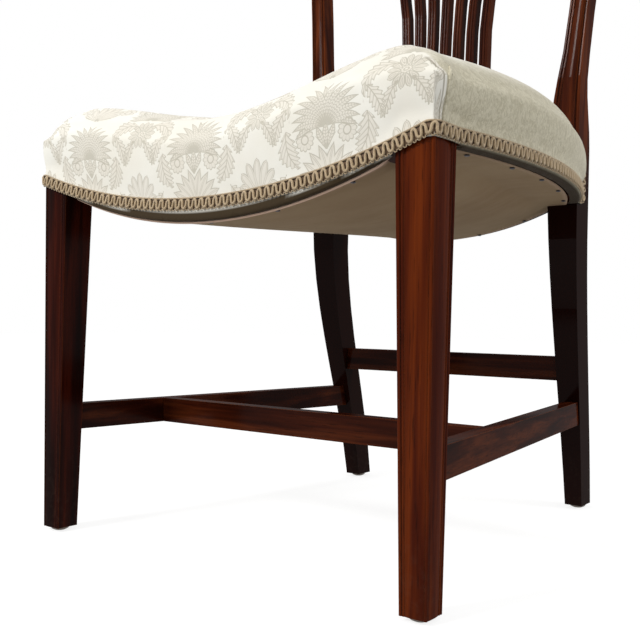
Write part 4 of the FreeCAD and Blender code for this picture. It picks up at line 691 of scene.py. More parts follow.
def has_flap(column, row, x, y):
    """Which edge the cover is turned under at a place of the rim: side, front or none."""
    share_x, share_y = abs(ACROSS[column][1]), ALONG[row][1]
    if share_y < 0 and abs(x) < LEG_INNER - 0.001:
        return "front"
    if share_x > abs(share_y) and LEG_BACK + 0.001 < y < POST_FRONT - 0.001:
        return "side"
    return ""


def seat_points():
    """Points of the top, by grid place, and of the skirt and the flaps, one list for each of their rows."""
    top = {}
    for column in range(len(ACROSS)):
        for row in range(len(ALONG)):
            x, y, radius = plan_point(column, row, CORNER_TOP)
            top[column, row] = Vector((x, y, top_height(x, y) - roll_drop(row, column, radius)))
    skirt = []
    for step in range(1, SKIRT_STEPS + 1):
        down = step / SKIRT_STEPS
        row_points = []
        for column, row in rim_walk():
            high = top[column, row]
            x, y, radius = plan_point(column, row, CORNER_TOP + (CORNER_FOOT - CORNER_TOP) * down)
            in_front = ALONG[row][1] < 0
            foot = front_foot(x) if in_front else RAIL_BOTTOM
            if ALONG[row][1] > 0 and abs(x) < POST_INNER:
                foot = FRAME_TOP - dish(POST_INNER, REAR_TOP_DISH, x)
            if has_flap(column, row, x, y):
                foot -= FLAP_DROP
            z = high.z + (foot - high.z) * down
            above_braid = clamped((z - foot - BRAID_ROOM) / max(0.01, high.z - foot - BRAID_ROOM))
            swell = (SWELL if ALONG[row][1] <= 0 else 0.0) * math.sin(math.pi / 2 * above_braid) ** 0.8
            away = Vector((ACROSS[column][1], ALONG[row][1], 0)).normalized() * swell
            row_points.append(Vector((x + away.x, y + away.y, z)))
        skirt.append(row_points)
    flaps = []
    for step in range(FLAP_ROWS):
        row_points = []
        for (column, row), above in zip(rim_walk(), skirt[-1]):
            edge = has_flap(column, row, above.x, above.y)
            move = Vector((0, 0, 0))
            if edge == "side":
                move.x = -math.copysign(FLAP_STEPS[edge][step], above.x)
            elif edge == "front":
                move.y = FLAP_STEPS[edge][step]
            row_points.append(above + move if edge else None)
        flaps.append(row_points)
    for column, row in rim_walk():
        out = Vector((ACROSS[column][1], min(0.0, ALONG[row][1]), 0))
        if out.length:
            top[column, row] += out.normalized() * SWELL
    return top, skirt, flaps


top_points, skirt_points, flap_points = seat_points()
print(len(top_points), "points on the top,", len(skirt_points) * len(skirt_points[0]), "on the skirt")

# %% [markdown]
# Real damask is one sheet over the top and the front, and is folded down at the sides. So each face gets a place
# on the flat cloth: across from the middle, and up from the front edge, both measured along the surface.
# The sides are the same cloth, on which the figure is faded and the cloth painted darker and greener as painted shade,
# and how far a place lies on the side is kept as an attribute.

# %% Mesh of the seat form with its cloth coordinates
def arc_lengths(points, start):
    """Length along a line of points from its start index, negative before it."""
    total = [0.0] * len(points)
    for n in range(start + 1, len(points)):
        total[n] = total[n - 1] + (points[n] - points[n - 1]).length
    for n in range(start - 1, -1, -1):
        total[n] = total[n + 1] - (points[n + 1] - points[n]).length
    return total


FLOWER_ROW, FLOWER_HANG, FLOWER_SHIFT = 0.4017, 0.0085, 0.008


def figure_level(x, z):
    """Height above the row of flowers, which hangs less than the seat's edge does."""
    return z - FLOWER_ROW - FLOWER_HANG * (1000 * x / REPEAT_ACROSS) ** 2


def seat_mesh(name):
    """The open seat form as a mesh with the UV map cloth, measured on the unstretched cloth."""
    vertices, place_of, cloth_of = [], {}, []
    middle = len(ACROSS) // 2
    for column in range(len(ACROSS)):
        for row in range(len(ALONG)):
            place_of["top", column, row] = len(vertices)
            vertices.append(top_points[column, row])
            cloth_of.append([0.0, 0.0])
    for row in range(len(ALONG)):
        line = arc_lengths([top_points[column, row] for column in range(len(ACROSS))], middle)
        for column in range(len(ACROSS)):
            cloth_of[place_of["top", column, row]][0] = line[column] + FLOWER_SHIFT
    for column in range(len(ACROSS)):
        line = arc_lengths([top_points[column, row] for row in range(len(ALONG))], 0)
        rim = top_points[column, 0]
        for row in range(len(ALONG)):
            cloth_of[place_of["top", column, row]][1] = line[row] + figure_level(rim.x, rim.z)
    walk = rim_walk()
    for step, points in enumerate(skirt_points + flap_points):
        for number, point in enumerate(points):
            if point is None:
                continue
            place_of["skirt", step, number] = len(vertices)
            above = (place_of["top", *walk[number]] if step == 0 else place_of["skirt", step - 1, number])
            fall = (vertices[above] - point).length
            u, v = cloth_of[above]
            out_x, out_y = ACROSS[walk[number][0]][1], ALONG[walk[number][1]][1]
            if abs(out_y) > abs(out_x) or (abs(out_y) == abs(out_x) and out_y < 0):
                v += math.copysign(fall, out_y)
            else:
                u += math.copysign(fall, out_x)
            vertices.append(point)
            cloth_of.append([u, v])
    faces = []
    for column in range(len(ACROSS) - 1):
        for row in range(len(ALONG) - 1):
            faces.append([place_of["top", column + a, row + b] for a, b in ((0, 0), (1, 0), (1, 1), (0, 1))])
    for number in range(len(walk)):
        following = (number + 1) % len(walk)
        for step in range(SKIRT_STEPS + FLAP_ROWS):
            if ("skirt", step, number) not in place_of or ("skirt", step, following) not in place_of:
                continue
            upper = [place_of["top", *walk[n]] if step == 0 else place_of["skirt", step - 1, n]
                     for n in (number, following)]
            lower = [place_of["skirt", step, n] for n in (following, number)]
            faces.append([upper[1], upper[0], lower[1], lower[0]])
    mesh = bpy.data.meshes.new(name)
    mesh.from_pydata([tuple(v) for v in vertices], [], faces)
    layer = mesh.uv_layers.new(name="cloth")
    for loop in mesh.loops:
        layer.data[loop.index].uv = cloth_of[loop.vertex_index]
    mesh.validate()
    return mesh, place_of


def add_piece(name, mesh, *materials):
    """Links a mesh as an object at the origin, smooth shaded, with its materials."""
    piece = bpy.data.objects.new(name, mesh)
    bpy.context.scene.collection.objects.link(piece)
    for material in materials:
        mesh.materials.append(material)
    mesh.polygons.foreach_set("use_smooth", [True] * len(mesh.polygons))
    return piece


form_mesh, place_of = seat_mesh("seat_form")
form = add_piece("seat_form", form_mesh)
print("seat form:", len(form_mesh.vertices), "points,", len(form_mesh.polygons), "faces")

# %% [markdown]
# Stuffing pushes the cover out where nothing holds it. A short cloth simulation does that: the skirt's lower part,
# tacked to the rails, is pinned, a little pressure fills the rest, and each point moves only outwards, up to a cap,
# because legs and rails lie close under the cloth. The same twenty frames always give the same result.

# %% Cloth simulation of the seat form
PUFF_CAP = 0.006
PUFF_FRAMES = 20
HELD_ROWS = 5


def table_of(collection, name):
    """One X, Y, Z property of all the elements of a mesh collection, as a table."""
    table = np.zeros(len(collection) * 3)
    collection.foreach_get(name, table)
    return table.reshape(-1, 3)


def puff(piece, held, pressure, cap):
    """Fills a piece by cloth simulation and caps how far its points move."""
    before = table_of(piece.data.vertices, "co")
    normals = table_of(piece.data.vertex_normals, "vector")
    group = piece.vertex_groups.new(name="held")
    group.add(held, 1.0, "ADD")
    cloth = piece.modifiers.new("cloth", "CLOTH")
    cloth.settings.effector_weights.gravity = 0
    cloth.settings.vertex_group_mass = "held"
    cloth.settings.use_pressure = True
    cloth.settings.uniform_pressure_force = pressure
    cloth.settings.tension_stiffness = 30
    cloth.settings.bending_stiffness = 2
    cloth.point_cache.frame_start, cloth.point_cache.frame_end = 1, PUFF_FRAMES
    for number in range(1, PUFF_FRAMES + 1):
        bpy.context.scene.frame_set(number)
    shaped = piece.evaluated_get(bpy.context.evaluated_depsgraph_get())
    after = table_of(shaped.data.vertices, "co")
    piece.modifiers.remove(cloth)
    bpy.context.scene.frame_set(1)
    outward = np.clip(((after - before) * normals).sum(axis=1), 0.0, cap)
    piece.data.vertices.foreach_set("co", (before + normals * outward[:, None]).ravel())
    piece.data.update()
    piece.vertex_groups.remove(group)
    return float(outward.max())


def is_held(key, point):
    """Whether a grid place is tacked down: low on the skirt, or on the rear rail between the posts."""
    return key[0] == "skirt" and (key[1] >= SKIRT_STEPS - HELD_ROWS
                                  or abs(point.x) < POST_INNER and point.y > POST_FRONT)


held = [index for key, index in place_of.items() if is_held(key, form_mesh.vertices[index].co)]
print("cloth moved up to", round(1000 * puff(form, held, 4.0, PUFF_CAP), 1), "mm")

# %% [markdown]
# The finished cover is a thin shell: the form is rounded by subdivision, which keeps its edges where they are, and
# given the cloth's thickness inwards. Where the back posts come through, the cloth is cut square round them, which
# two boxes take out with a Boolean.
# At each front corner the spare cloth is folded into a pleat, which shows as one raised line between the front
# and the side. It is a narrow roll of cloth that follows the cover down from the corner's top: its path is the
# nearest place on the finished cover to a line drawn beside it.

# %% Seat cover
def with_modifier(piece, kind, **settings):
    """The mesh that a modifier makes of a piece. The modifier is gone afterwards."""
    modifier = piece.modifiers.new(kind.lower(), kind)
    for title, setting in settings.items():
        setattr(modifier, title, setting)
    graph = bpy.context.evaluated_depsgraph_get()
    mesh = bpy.data.meshes.new_from_object(piece.evaluated_get(graph), preserve_all_data_layers=True,
                                           depsgraph=graph)
    piece.modifiers.remove(modifier)
    return mesh


def box_tool(name, low, high):
    """A plain box to cut with, removed afterwards."""
    mesh = bpy.data.meshes.new(name)
    corners = [(x, y, z) for x in (low[0], high[0]) for y in (low[1], high[1]) for z in (low[2], high[2])]
    mesh.from_pydata(corners, [], [(0, 1, 3, 2), (4, 6, 7, 5), (0, 4, 5, 1), (2, 3, 7, 6), (0, 2, 6, 4), (1, 5, 7, 3)])
    tool = bpy.data.objects.new(name, mesh)
    bpy.context.scene.collection.objects.link(tool)
    return tool


def cut_away(piece, tools):
    """Takes the tools out of the piece for good."""
    for tool in tools:
        piece.data = with_modifier(piece, "BOOLEAN", operation="DIFFERENCE", solver="EXACT", object=tool)
        bpy.data.objects.remove(tool)


def post_boxes():
    """Room for the two back posts."""
    boxes = []
    for way in (-1, 1):
        xs = sorted((way * (POST_INNER - POST_PLAY), way * (HALF_REAR + POST_PLAY)))
        boxes.append(box_tool("post_room", (xs[0], POST_FRONT - POST_PLAY, 0.3), (xs[1], 0.25, 0.6)))
    return boxes


def thicken(piece, thickness):
    """Gives a sheet its thickness, inwards from its face."""
    piece.data = with_modifier(piece, "SOLIDIFY", thickness=thickness, offset=-1.0)


def add_looks(mesh):
    """Marks the sides, where the figure is faded and the cloth painted in shade, and the lower edges, which are
    painted dark as painted shade.
    """
    beside, painted_edge_shade = [], []
    for vertex in mesh.vertices:
        x, y, z = vertex.co
        beside.append(clamped((abs(x) - bowed_side(y) + 0.022) / 0.02))
        in_front = y < LEG_FRONT + 0.02 and abs(x) < HALF_FRONT - 0.005
        edge = braid_foot(x) if in_front else RAIL_BOTTOM - 0.0002
        # Below the braid and below the rails this mark is for painted shade.
        painted_edge_shade.append(clamped((edge - z) / 0.0008) if in_front or y < POST_FRONT else 0.0)
    for name, values in (("side", beside), ("soil_and_shade", painted_edge_shade)):
        mesh.attributes.new(name, "FLOAT", "POINT").data.foreach_set("value", values)


PLEAT_FOOT, PLEAT_BEND, PLEAT_TOP = 0.408, 0.450, 0.472
PLEAT_LEAN, PLEAT_RISE, PLEAT_HALF_WIDTH = 0.016, 0.0014, 0.0021


def pleat_roll(mesh, way):
    """The raised fold at one front corner: a flat oval tube that lies half in the cover."""
    tree = BVHTree.FromPolygons([v.co for v in mesh.vertices], [f.vertices for f in mesh.polygons])
    path = []
    for z in evenly(26, PLEAT_FOOT, PLEAT_TOP):
        y = PLEAT_PLACE + PLEAT_LEAN * clamped((z - PLEAT_BEND) / (PLEAT_TOP - PLEAT_BEND)) ** 2
        found, normal, face, distance = tree.find_nearest(Vector((way * (HALF_FRONT + 0.02), y, z)))
        path.append((found, normal))
    ring = evenly(11, 0, 2 * math.pi)[:-1]
    points, faces = [], []
    for number, (place, normal) in enumerate(path):
        slim = clamped(min(number, len(path) - 1 - number) / 3 + 0.25)
        ahead = path[min(number + 1, len(path) - 1)][0] - path[max(number - 1, 0)][0]
        beside = ahead.normalized().cross(normal)
        for angle in ring:
            points.append(place + normal * (math.sin(angle) * PLEAT_RISE * slim + 0.0002)
                          + beside * (math.cos(angle) * PLEAT_HALF_WIDTH * slim))
    count = len(ring)
    for row in range(len(path) - 1):
        for n in range(count):
            a, b = row * count + n, row * count + (n + 1) % count
            faces.append((a, b, b + count, a + count))
    faces += [tuple(range(count))[::-1], tuple(range(len(points) - count, len(points)))]
    return points, faces


def join_rolls(mesh):
    """Adds both pleats to the cover's mesh, with the cover's own UV at their places."""
    joined = bmesh.new()
    joined.from_mesh(mesh)
    cloth = joined.loops.layers.uv["cloth"]
    for way in (-1, 1):
        points, faces = pleat_roll(mesh, way)
        vertices = [joined.verts.new(point) for point in points]
        made = [joined.faces.new([vertices[n] for n in face]) for face in faces]
        bmesh.ops.recalc_face_normals(joined, faces=made)
        for face in made:
            face.smooth = True
            for loop in face.loops:
                loop[cloth].uv = (loop.vert.co.y, loop.vert.co.z)
    joined.to_mesh(mesh)
    joined.free()


rounded_form = with_modifier(form, "SUBSURF", levels=1, render_levels=1, boundary_smooth="PRESERVE_CORNERS")
cover = add_piece("damask_cover", rounded_form, damask)
thicken(cover, COVER_THICKNESS)
cut_away(cover, post_boxes())
join_rolls(cover.data)
add_looks(cover.data)
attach(cover, "root")
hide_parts("seat_cover")

# %% [markdown]
# Under the cover lies curled hair, packed on hessian and webbing. It fills the seat form from just inside the
# cover down to the hessian, so it is made from the same form: its outside drawn in, its underside laid flat.

# %% Curled hair, jute and the stuffing
curled_hair, shader, pen = new_material("curled_hair", Roughness=0.9)
place = object_place(pen)
tangle = pen.noise(place, 240.0, 5.0, 0.7, 2.5)
pen.feed(shader.inputs["Base Color"], pen.ramp(tangle, [(0.3, linear(38, 28, 20)), (0.7, linear(112, 88, 62))]))
pen.feed(shader.inputs["Normal"], pen.bump(tangle, 0.002, 0.8))

DECK_LIFT = 0.0066


def deck_height(x, y, lift):
    """Height of the cloths that lie over the rails: dished more in front than behind."""
    share = rail_share(y)
    depth = FRONT_DISH + (REAR_TOP_DISH - FRONT_DISH) * share
    return FRAME_TOP - dish(between_posts(share), depth, x) + lift


def stuffing_mesh():
    """The form's top drawn in under the cover, the same grid on the deck below it, and a wall between."""
    count, last = len(ACROSS) * len(ALONG), len(ALONG)
    upper, lower = [], []
    for vertex, normal in zip(form.data.vertices[:count], table_of(form.data.vertex_normals, "vector")):
        x, y, z = vertex.co - Vector(normal) * (COVER_THICKNESS + 0.0008)
        upper.append((x, y, z))
        lower.append((x, y, min(z - 0.0010, deck_height(x, y, DECK_LIFT + 0.0016))))
    quads = [(column * last + row, (column + 1) * last + row, (column + 1) * last + row + 1, column * last + row + 1)
             for column in range(len(ACROSS) - 1) for row in range(last - 1)]
    rim = [column * last + row for column, row in rim_walk()]
    walls = [(a, b, b + count, a + count) for a, b in zip(rim, rim[1:] + rim[:1])]
    mesh = bpy.data.meshes.new("stuffing")
    mesh.from_pydata(upper + lower, [], quads + [tuple(n + count for n in quad) for quad in quads] + walls)
    shape = bmesh.new()
    shape.from_mesh(mesh)
    bmesh.ops.recalc_face_normals(shape, faces=shape.faces)
    shape.to_mesh(mesh)
    shape.free()
    return mesh


stuffing = add_piece("hair_stuffing", stuffing_mesh(), curled_hair)
cut_away(stuffing, post_boxes())
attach(stuffing, "root")
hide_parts("seat_stuffing")
print("stuffing:", len(stuffing.data.polygons), "faces")

# %% [markdown]
# Hessian and webbing are both jute: hessian is a thin open weave, webbing a strong twilled strap. They are hidden
# once the seat is closed, but they carry it, so each strap follows the deck from rail to rail.

# %% Jute and the cloths of the deck
jute, shader, pen = new_material("jute", Roughness=0.85)
place = object_place(pen)
warp = pen.add_node("ShaderNodeTexWave", bands_direction="X")
weft = pen.add_node("ShaderNodeTexWave", bands_direction="Y")
for wave in (warp, weft):
    pen.feed(wave.inputs["Vector"], place)
    wave.inputs["Scale"].default_value, wave.inputs["Distortion"].default_value = 130.0, 1.5
woven = pen.times(warp.outputs["Fac"], weft.outputs["Fac"])
pen.feed(shader.inputs["Base Color"], pen.ramp(woven, [(0.0, linear(96, 70, 42)), (0.8, linear(186, 150, 104))]))
pen.feed(shader.inputs["Normal"], pen.bump(woven, 0.0005, 0.8))


def strap_mesh(name, places, lift, thickness):
    """A strap through rows of places: each row has its points from one selvedge to the other."""
    mesh = bpy.data.meshes.new(name)
    points = [(x, y, deck_height(x, y, lift)) for row in places for x, y in row]
    wide = len(places[0])
    faces = [(a, a + 1, a + 1 + wide, a + wide)
             for row in range(len(places) - 1) for a in range(row * wide, row * wide + wide - 1)]
    mesh.from_pydata(points, [], faces)
    shape = bmesh.new()
    shape.from_mesh(mesh)
    bmesh.ops.recalc_face_normals(shape, faces=shape.faces)
    if sum(face.normal.z for face in shape.faces) < 0:
        bmesh.ops.reverse_faces(shape, faces=shape.faces)
    shape.to_mesh(mesh)
    shape.free()
    piece = add_piece(name, mesh, jute)
    thicken(piece, -thickness)
    return piece


STRAP, STRAP_THICKNESS, STRAPS = 0.050, 0.0018, 4
STRAP_FIRST, STRAP_MARGIN = 0.060, 0.049
DECK_FRONT, DECK_REAR = LEG_FRONT + 0.004, SEAT_REAR - 0.0036
for number in range(STRAPS):
    spot = 2 * number / (STRAPS - 1) - 1
    front_x, rear_x = spot * (LEG_INNER - STRAP_MARGIN), spot * (POST_INNER - STRAP_MARGIN)
    rows = [[(front_x + (rear_x - front_x) * t + side, DECK_FRONT + (DECK_REAR - DECK_FRONT) * t)
             for side in evenly(7, -STRAP / 2, STRAP / 2)] for t in evenly(40, 0, 1)]
    strap = strap_mesh(f"strap_lengthwise_{number + 1}", rows, 0.0003, STRAP_THICKNESS)
    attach(strap, "root")
    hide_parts("webbing_lengthwise")
    y = LEG_BACK + STRAP_FIRST + (POST_FRONT - LEG_BACK - 2 * STRAP_FIRST) * number / (STRAPS - 1)
    reach = bowed_side(y) - 0.011
    rows = [[(x, y + side) for side in evenly(7, -STRAP / 2, STRAP / 2)] for x in evenly(40, -reach, reach)]
    strap = strap_mesh(f"strap_crosswise_{number + 1}", rows, 0.0025, STRAP_THICKNESS)
    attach(strap, "root")
    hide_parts("webbing_crosswise")

rows = [[(p * (bowed_side(min(y, POST_FRONT)) - 0.006), y) for p in evenly(60, -1, 1)]
        for y in evenly(50, DECK_FRONT, DECK_REAR)]
hessian = strap_mesh("hessian_cloth", rows, 0.0048, 0.0008)
cut_away(hessian, post_boxes())
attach(hessian, "root")
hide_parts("hessian")

# %% [markdown]
# The braid is scroll gimp: a stiff cord laid up and down in close bends on a dark flat ribbon, which is painted shade
# for the gaps between the bends, with one straight cord along its upper edge and a fine looped edge below, glued over
# the row of tacks.
# Every bend is the same curve, so Geometry Nodes draw it: a guide line runs along the seat's lower edge, and each
# point of it is moved in the band by its distance along the line. The guide carries the way that faces out.

# %% Gimp materials
def thread_material(name, pale, dark):
    """Cord wound with fine thread."""
    material, shader, pen = new_material(name, Roughness=0.62, Sheen_Weight=0.3)
    along = attribute(pen, "along")
    place = object_place(pen)
    winding = pen.math("SINE", pen.times(along, 2 * math.pi / 0.0011))
    fray = pen.noise(place, 700.0, 3.0, 0.6)
    soil_and_shade = pen.soft_step(pen.noise(place, 45.0, 3.0, 0.6), 0.35, 0.7)
    mixed = pen.blend(pen.plus(pen.times(winding, 0.18), pen.times(fray, 0.6)), pale, dark)
    pen.feed(shader.inputs["Base Color"], pen.blend(pen.times(soil_and_shade, 0.3), mixed, dark))
    pen.feed(shader.inputs["Normal"], pen.bump(pen.plus(winding, fray), 0.0002, 0.7))
    return material


gimp = thread_material("gimp", linear(222, 198, 160), linear(168, 138, 98))
# The ribbon's dark brown is painted shade for the gaps between the bends.
gimp_shade_ribbon = thread_material("gimp_shade_ribbon", linear(112, 84, 54), linear(78, 56, 34))

# %% Braid as Geometry Nodes
def geometry_tree(name, inputs):
    """A Geometry Nodes tree with a mesh in and out, and its named inputs."""
    tree = bpy.data.node_groups.new(name, "GeometryNodeTree")
    tree.interface.new_socket("Geometry", in_out="INPUT", socket_type="NodeSocketGeometry")
    tree.interface.new_socket("Geometry", in_out="OUTPUT", socket_type="NodeSocketGeometry")
    kinds = {"length": "NodeSocketFloat", "count": "NodeSocketInt", "material": "NodeSocketMaterial",
             "object": "NodeSocketObject"}
    for title, kind in inputs:
        tree.interface.new_socket(title, in_out="INPUT", socket_type=kinds[kind])
    return tree


class Builder(Pen):
    """The pen, with the extra strokes that Geometry Nodes need."""

    def vector(self, operation, *sources):
        node = self.add_node("ShaderNodeVectorMath", operation=operation)
        for socket, source in zip(node.inputs, sources):
            self.feed(socket, source)
        return node.outputs[0]

    def scaled(self, vector, length):
        node = self.add_node("ShaderNodeVectorMath", operation="SCALE")
        self.feed(node.inputs[0], vector)
        self.feed(node.inputs["Scale"], length)
        return node.outputs[0]

    def through(self, kind, geometry, out=0, **sources):
        node = self.add_node(kind)
        self.feed(node.inputs[0], geometry)
        for title, source in sources.items():
            self.feed(node.inputs[title.replace("_", " ")], source)
        return node.outputs[out]


def run_nodes(name, guide, tree, settings, *materials):
    """Runs a tree on a guide mesh and keeps the result as a plain mesh object."""
    carrier = bpy.data.objects.new(name, guide)
    bpy.context.scene.collection.objects.link(carrier)
    modifier = carrier.modifiers.new("nodes", "NODES")
    modifier.node_group = tree
    for item in tree.interface.items_tree:
        if item.item_type == "SOCKET" and item.in_out == "INPUT" and item.name in settings:
            modifier[item.identifier] = settings[item.name]
    graph = bpy.context.evaluated_depsgraph_get()
    mesh = bpy.data.meshes.new_from_object(carrier.evaluated_get(graph), preserve_all_data_layers=True,
                                           depsgraph=graph)
    bpy.data.objects.remove(carrier)
    piece = bpy.data.objects.new(name, mesh)
    bpy.context.scene.collection.objects.link(piece)
    return piece


braid_tree = geometry_tree("scroll_gimp", [("Pitch", "length"), ("Reach", "length"), ("Loop", "length"),
                                           ("Lean", "length"), ("Lift", "length"), ("Cord", "length"),
                                           ("Shift", "length"), ("Finish", "material")])
pen = Builder(braid_tree)
given = pen.add_node("NodeGroupInput").outputs
line = pen.through("GeometryNodeMeshToCurve", given["Geometry"])
resample = pen.add_node("GeometryNodeResampleCurve", mode="LENGTH")
pen.feed(resample.inputs["Curve"], line)
pen.feed(resample.inputs["Length"], pen.times(given["Pitch"], 1 / 16))
along = pen.add_node("GeometryNodeSplineParameter").outputs["Length"]
kept = pen.add_node("GeometryNodeStoreNamedAttribute", data_type="FLOAT", domain="POINT")
pen.feed(kept.inputs["Geometry"], resample.outputs[0])
kept.inputs["Name"].default_value = "along"
pen.feed(kept.inputs["Value"], pen.times(along, 4.0))
outward = pen.add_node("GeometryNodeInputNamedAttribute", data_type="FLOAT_VECTOR")
outward.inputs["Name"].default_value = "outward"
out = pen.vector("NORMALIZE", outward.outputs[0])
tangent = pen.add_node("GeometryNodeInputTangent").outputs[0]
band = pen.vector("CROSS_PRODUCT", out, tangent)
angle = pen.times(pen.math("DIVIDE", along, given["Pitch"]), 2 * math.pi)
sine, cosine = pen.math("SINE", angle), pen.math("COSINE", angle)
bulge = pen.math("SINE", pen.times(angle, 2.0))
forward = pen.plus(pen.times(bulge, given["Loop"]), pen.times(cosine, given["Lean"]))
sideways = pen.plus(pen.times(cosine, given["Reach"]), given["Shift"])
move = pen.vector("ADD", pen.scaled(tangent, forward), pen.scaled(band, sideways))
move = pen.vector("ADD", move, pen.scaled(out, pen.times(sine, given["Lift"])))
placed = pen.add_node("GeometryNodeSetPosition")
pen.feed(placed.inputs["Geometry"], kept.outputs[0])
pen.feed(placed.inputs["Offset"], move)
circle = pen.add_node("GeometryNodeCurvePrimitiveCircle")
circle.inputs["Resolution"].default_value = 6
pen.feed(circle.inputs["Radius"], given["Cord"])
tube = pen.add_node("GeometryNodeCurveToMesh")
pen.feed(tube.inputs["Curve"], placed.outputs[0])
pen.feed(tube.inputs["Profile Curve"], circle.outputs[0])
tube.inputs["Fill Caps"].default_value = True
real = pen.through("GeometryNodeRealizeInstances", tube.outputs[0])
smooth = pen.through("GeometryNodeSetShadeSmooth", real)
finished = pen.through("GeometryNodeSetMaterial", smooth, Material=given["Finish"])
pen.feed(pen.add_node("NodeGroupOutput").inputs[0], finished)
print("scroll_gimp:", len(braid_tree.nodes), "nodes")

# %% The braid's guide and the braid
BRAID_WIDTH, RETURN_TOP = 0.013, 0.458
CORNER_RADIUS = 0.007
SHOE_SIDE = 0.089


def guide_mesh(name, places):
    """A line of points, each with the direction that faces out of the braid."""
    mesh = bpy.data.meshes.new(name)
    mesh.from_pydata([tuple(p) for p, _ in places], [(n, n + 1) for n in range(len(places) - 1)], [])
    layer = mesh.attributes.new("outward", "FLOAT_VECTOR", "POINT")
    layer.data.foreach_set("vector", [c for _, out in places for c in out])
    return mesh


def seat_edge_places(lift):
    """The braid's middle line: up the left post, along the left side, the front, the right side and up again."""
    off = LAY + lift
    half_places = []
    for x in evenly(36, 0, HALF_FRONT + LAY - CORNER_RADIUS):
        place = Vector((x, LEG_FRONT - off, braid_foot(x) + BRAID_WIDTH / 2))
        half_places.append((place, Vector((0, -1, 0))))
    centre = Vector((HALF_FRONT + LAY - CORNER_RADIUS, LEG_FRONT - LAY + CORNER_RADIUS,
                     RAIL_BOTTOM + BRAID_WIDTH / 2))
    for angle in evenly(6, 15, 90):
        out = Vector((math.sin(math.radians(angle)), -math.cos(math.radians(angle)), 0))
        half_places.append((centre + out * (CORNER_RADIUS + lift), out))
    last_y = SEAT_REAR - 0.0055
    for y in evenly(70, LEG_FRONT + 0.008, last_y):
        slope = (bowed_side(y + 0.001) - bowed_side(y - 0.001)) / 0.002 if LEG_BACK < y < POST_FRONT else 0
        out = Vector((1, -slope, 0)).normalized()
        half_places.append((Vector((bowed_side(y) + LAY, y, centre.z)) + out * lift, out))
    for z in evenly(10, RAIL_BOTTOM + 0.012, RETURN_TOP):
        half_places.append((Vector((HALF_REAR + off, last_y, z)), Vector((1, 0, 0))))
    mirrored = [(Vector((-p.x, p.y, p.z)), Vector((-out.x, out.y, out.z))) for p, out in half_places[1:]]
    return mirrored[::-1] + half_places


def rear_places(way, lift):
    """Short runs of braid on the cover's rear edge, on both sides of the shoe."""
    places = []
    for x in evenly(16, SHOE_SIDE, POST_INNER - 0.003):
        z = FRAME_TOP - dish(POST_INNER, REAR_TOP_DISH, x) + 0.0004 + BRAID_WIDTH / 2
        places.append((Vector((way * x, SEAT_REAR + 0.0004 + lift, z)), Vector((0, 1, 0))))
    return places


def shade_ribbon_part(name, places, half_width, thickness):
    """The dark flat ribbon under the cords, painted shade for the gaps between them, as a closed band along the
    places.
    """
    points, faces = [], []
    for number, (place, out) in enumerate(places):
        ahead = places[min(number + 1, len(places) - 1)][0] - places[max(number - 1, 0)][0]
        band = out.cross(ahead).normalized()
        points += [place + band * side + out * rise for side, rise in
                   ((-half_width, 0), (half_width, 0), (half_width, thickness), (-half_width, thickness))]
    for row in range(len(places) - 1):
        faces += [(4 * row + n, 4 * row + (n + 1) % 4, 4 * row + 4 + (n + 1) % 4, 4 * row + 4 + n) for n in range(4)]
    faces += [(3, 2, 1, 0), tuple(range(len(points) - 4, len(points)))]
    mesh = bpy.data.meshes.new(name)
    mesh.from_pydata([tuple(point) for point in points], [], faces)
    return mesh


CORDS = {
    "bends": {"Pitch": 0.0094, "Reach": 0.0042, "Loop": 0.0006, "Lean": 0.0004, "Lift": 0.0002, "Cord": 0.00142,
              "Shift": -0.0003},
    "edge": {"Pitch": 0.0094, "Reach": 0.0, "Loop": 0.0, "Lean": 0.0, "Lift": 0.0, "Cord": 0.0009,
             "Shift": 0.0056},
    "loops": {"Pitch": 0.0047, "Reach": 0.0007, "Loop": 0.0005, "Lean": 0.0, "Lift": 0.0, "Cord": 0.00045,
              "Shift": -0.0058},
}


def lay_braid(name, places_at):
    """One run of gimp: the dark ribbon of painted shade and three cords on it. places_at gives the run's places at a
    height.
    """
    joined = bmesh.new()
    joined.from_mesh(shade_ribbon_part(name, places_at(-0.0001), 0.0055, 0.0006))
    bmesh.ops.recalc_face_normals(joined, faces=joined.faces)
    for face in joined.faces:
        face.material_index = 1
    for title, settings in CORDS.items():
        cord = run_nodes(f"{name}_{title}", guide_mesh(name, places_at(0.0019 if title == "bends" else 0.0013)),
                         braid_tree, {**settings, "Finish": gimp})
        start = len(joined.faces)
        joined.from_mesh(cord.data)
        joined.faces.ensure_lookup_table()
        for face in joined.faces[start:]:
            face.material_index = 0
        bpy.data.objects.remove(cord)
    mesh = bpy.data.meshes.new(name)
    joined.to_mesh(mesh)
    joined.free()
    braid = add_piece(name, mesh, gimp, gimp_shade_ribbon)
    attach(braid, "root")
    return braid


braid = lay_braid("scroll_braid", seat_edge_places)
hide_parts("gimp_braid")
for way, side in ((-1, "left"), (1, "right")):
    rear_braid = lay_braid(f"scroll_braid_rear_{side}", functools.partial(rear_places, way))
    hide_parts("gimp_braid_rear")
print("braid:", len(braid.data.polygons), "faces")

# %% [markdown]
# Underneath, a sheet of thin cambric closes the seat against dust. It is tacked under the rails with its edges
# folded in, sags a little between them, and its front fold is painted pale as one line of painted highlight.

# %% Cambric
cambric, shader, pen = new_material("cambric", Roughness=0.85)
place = object_place(pen)
rim = attribute(pen, "fold")
stain = pen.noise(place, 7.0, 4.0, 0.6)
thread = pen.noise(pen.stretched(place, (500.0, 900.0, 500.0)), 1.0, 2.0, 0.6)
ripple = pen.noise(pen.stretched(place, (3.0, 26.0, 3.0)), 1.2, 2.0, 0.5, 0.4)
cloth_colour = pen.ramp(stain, [(0.3, linear(182, 156, 122)), (0.75, linear(158, 130, 96))])
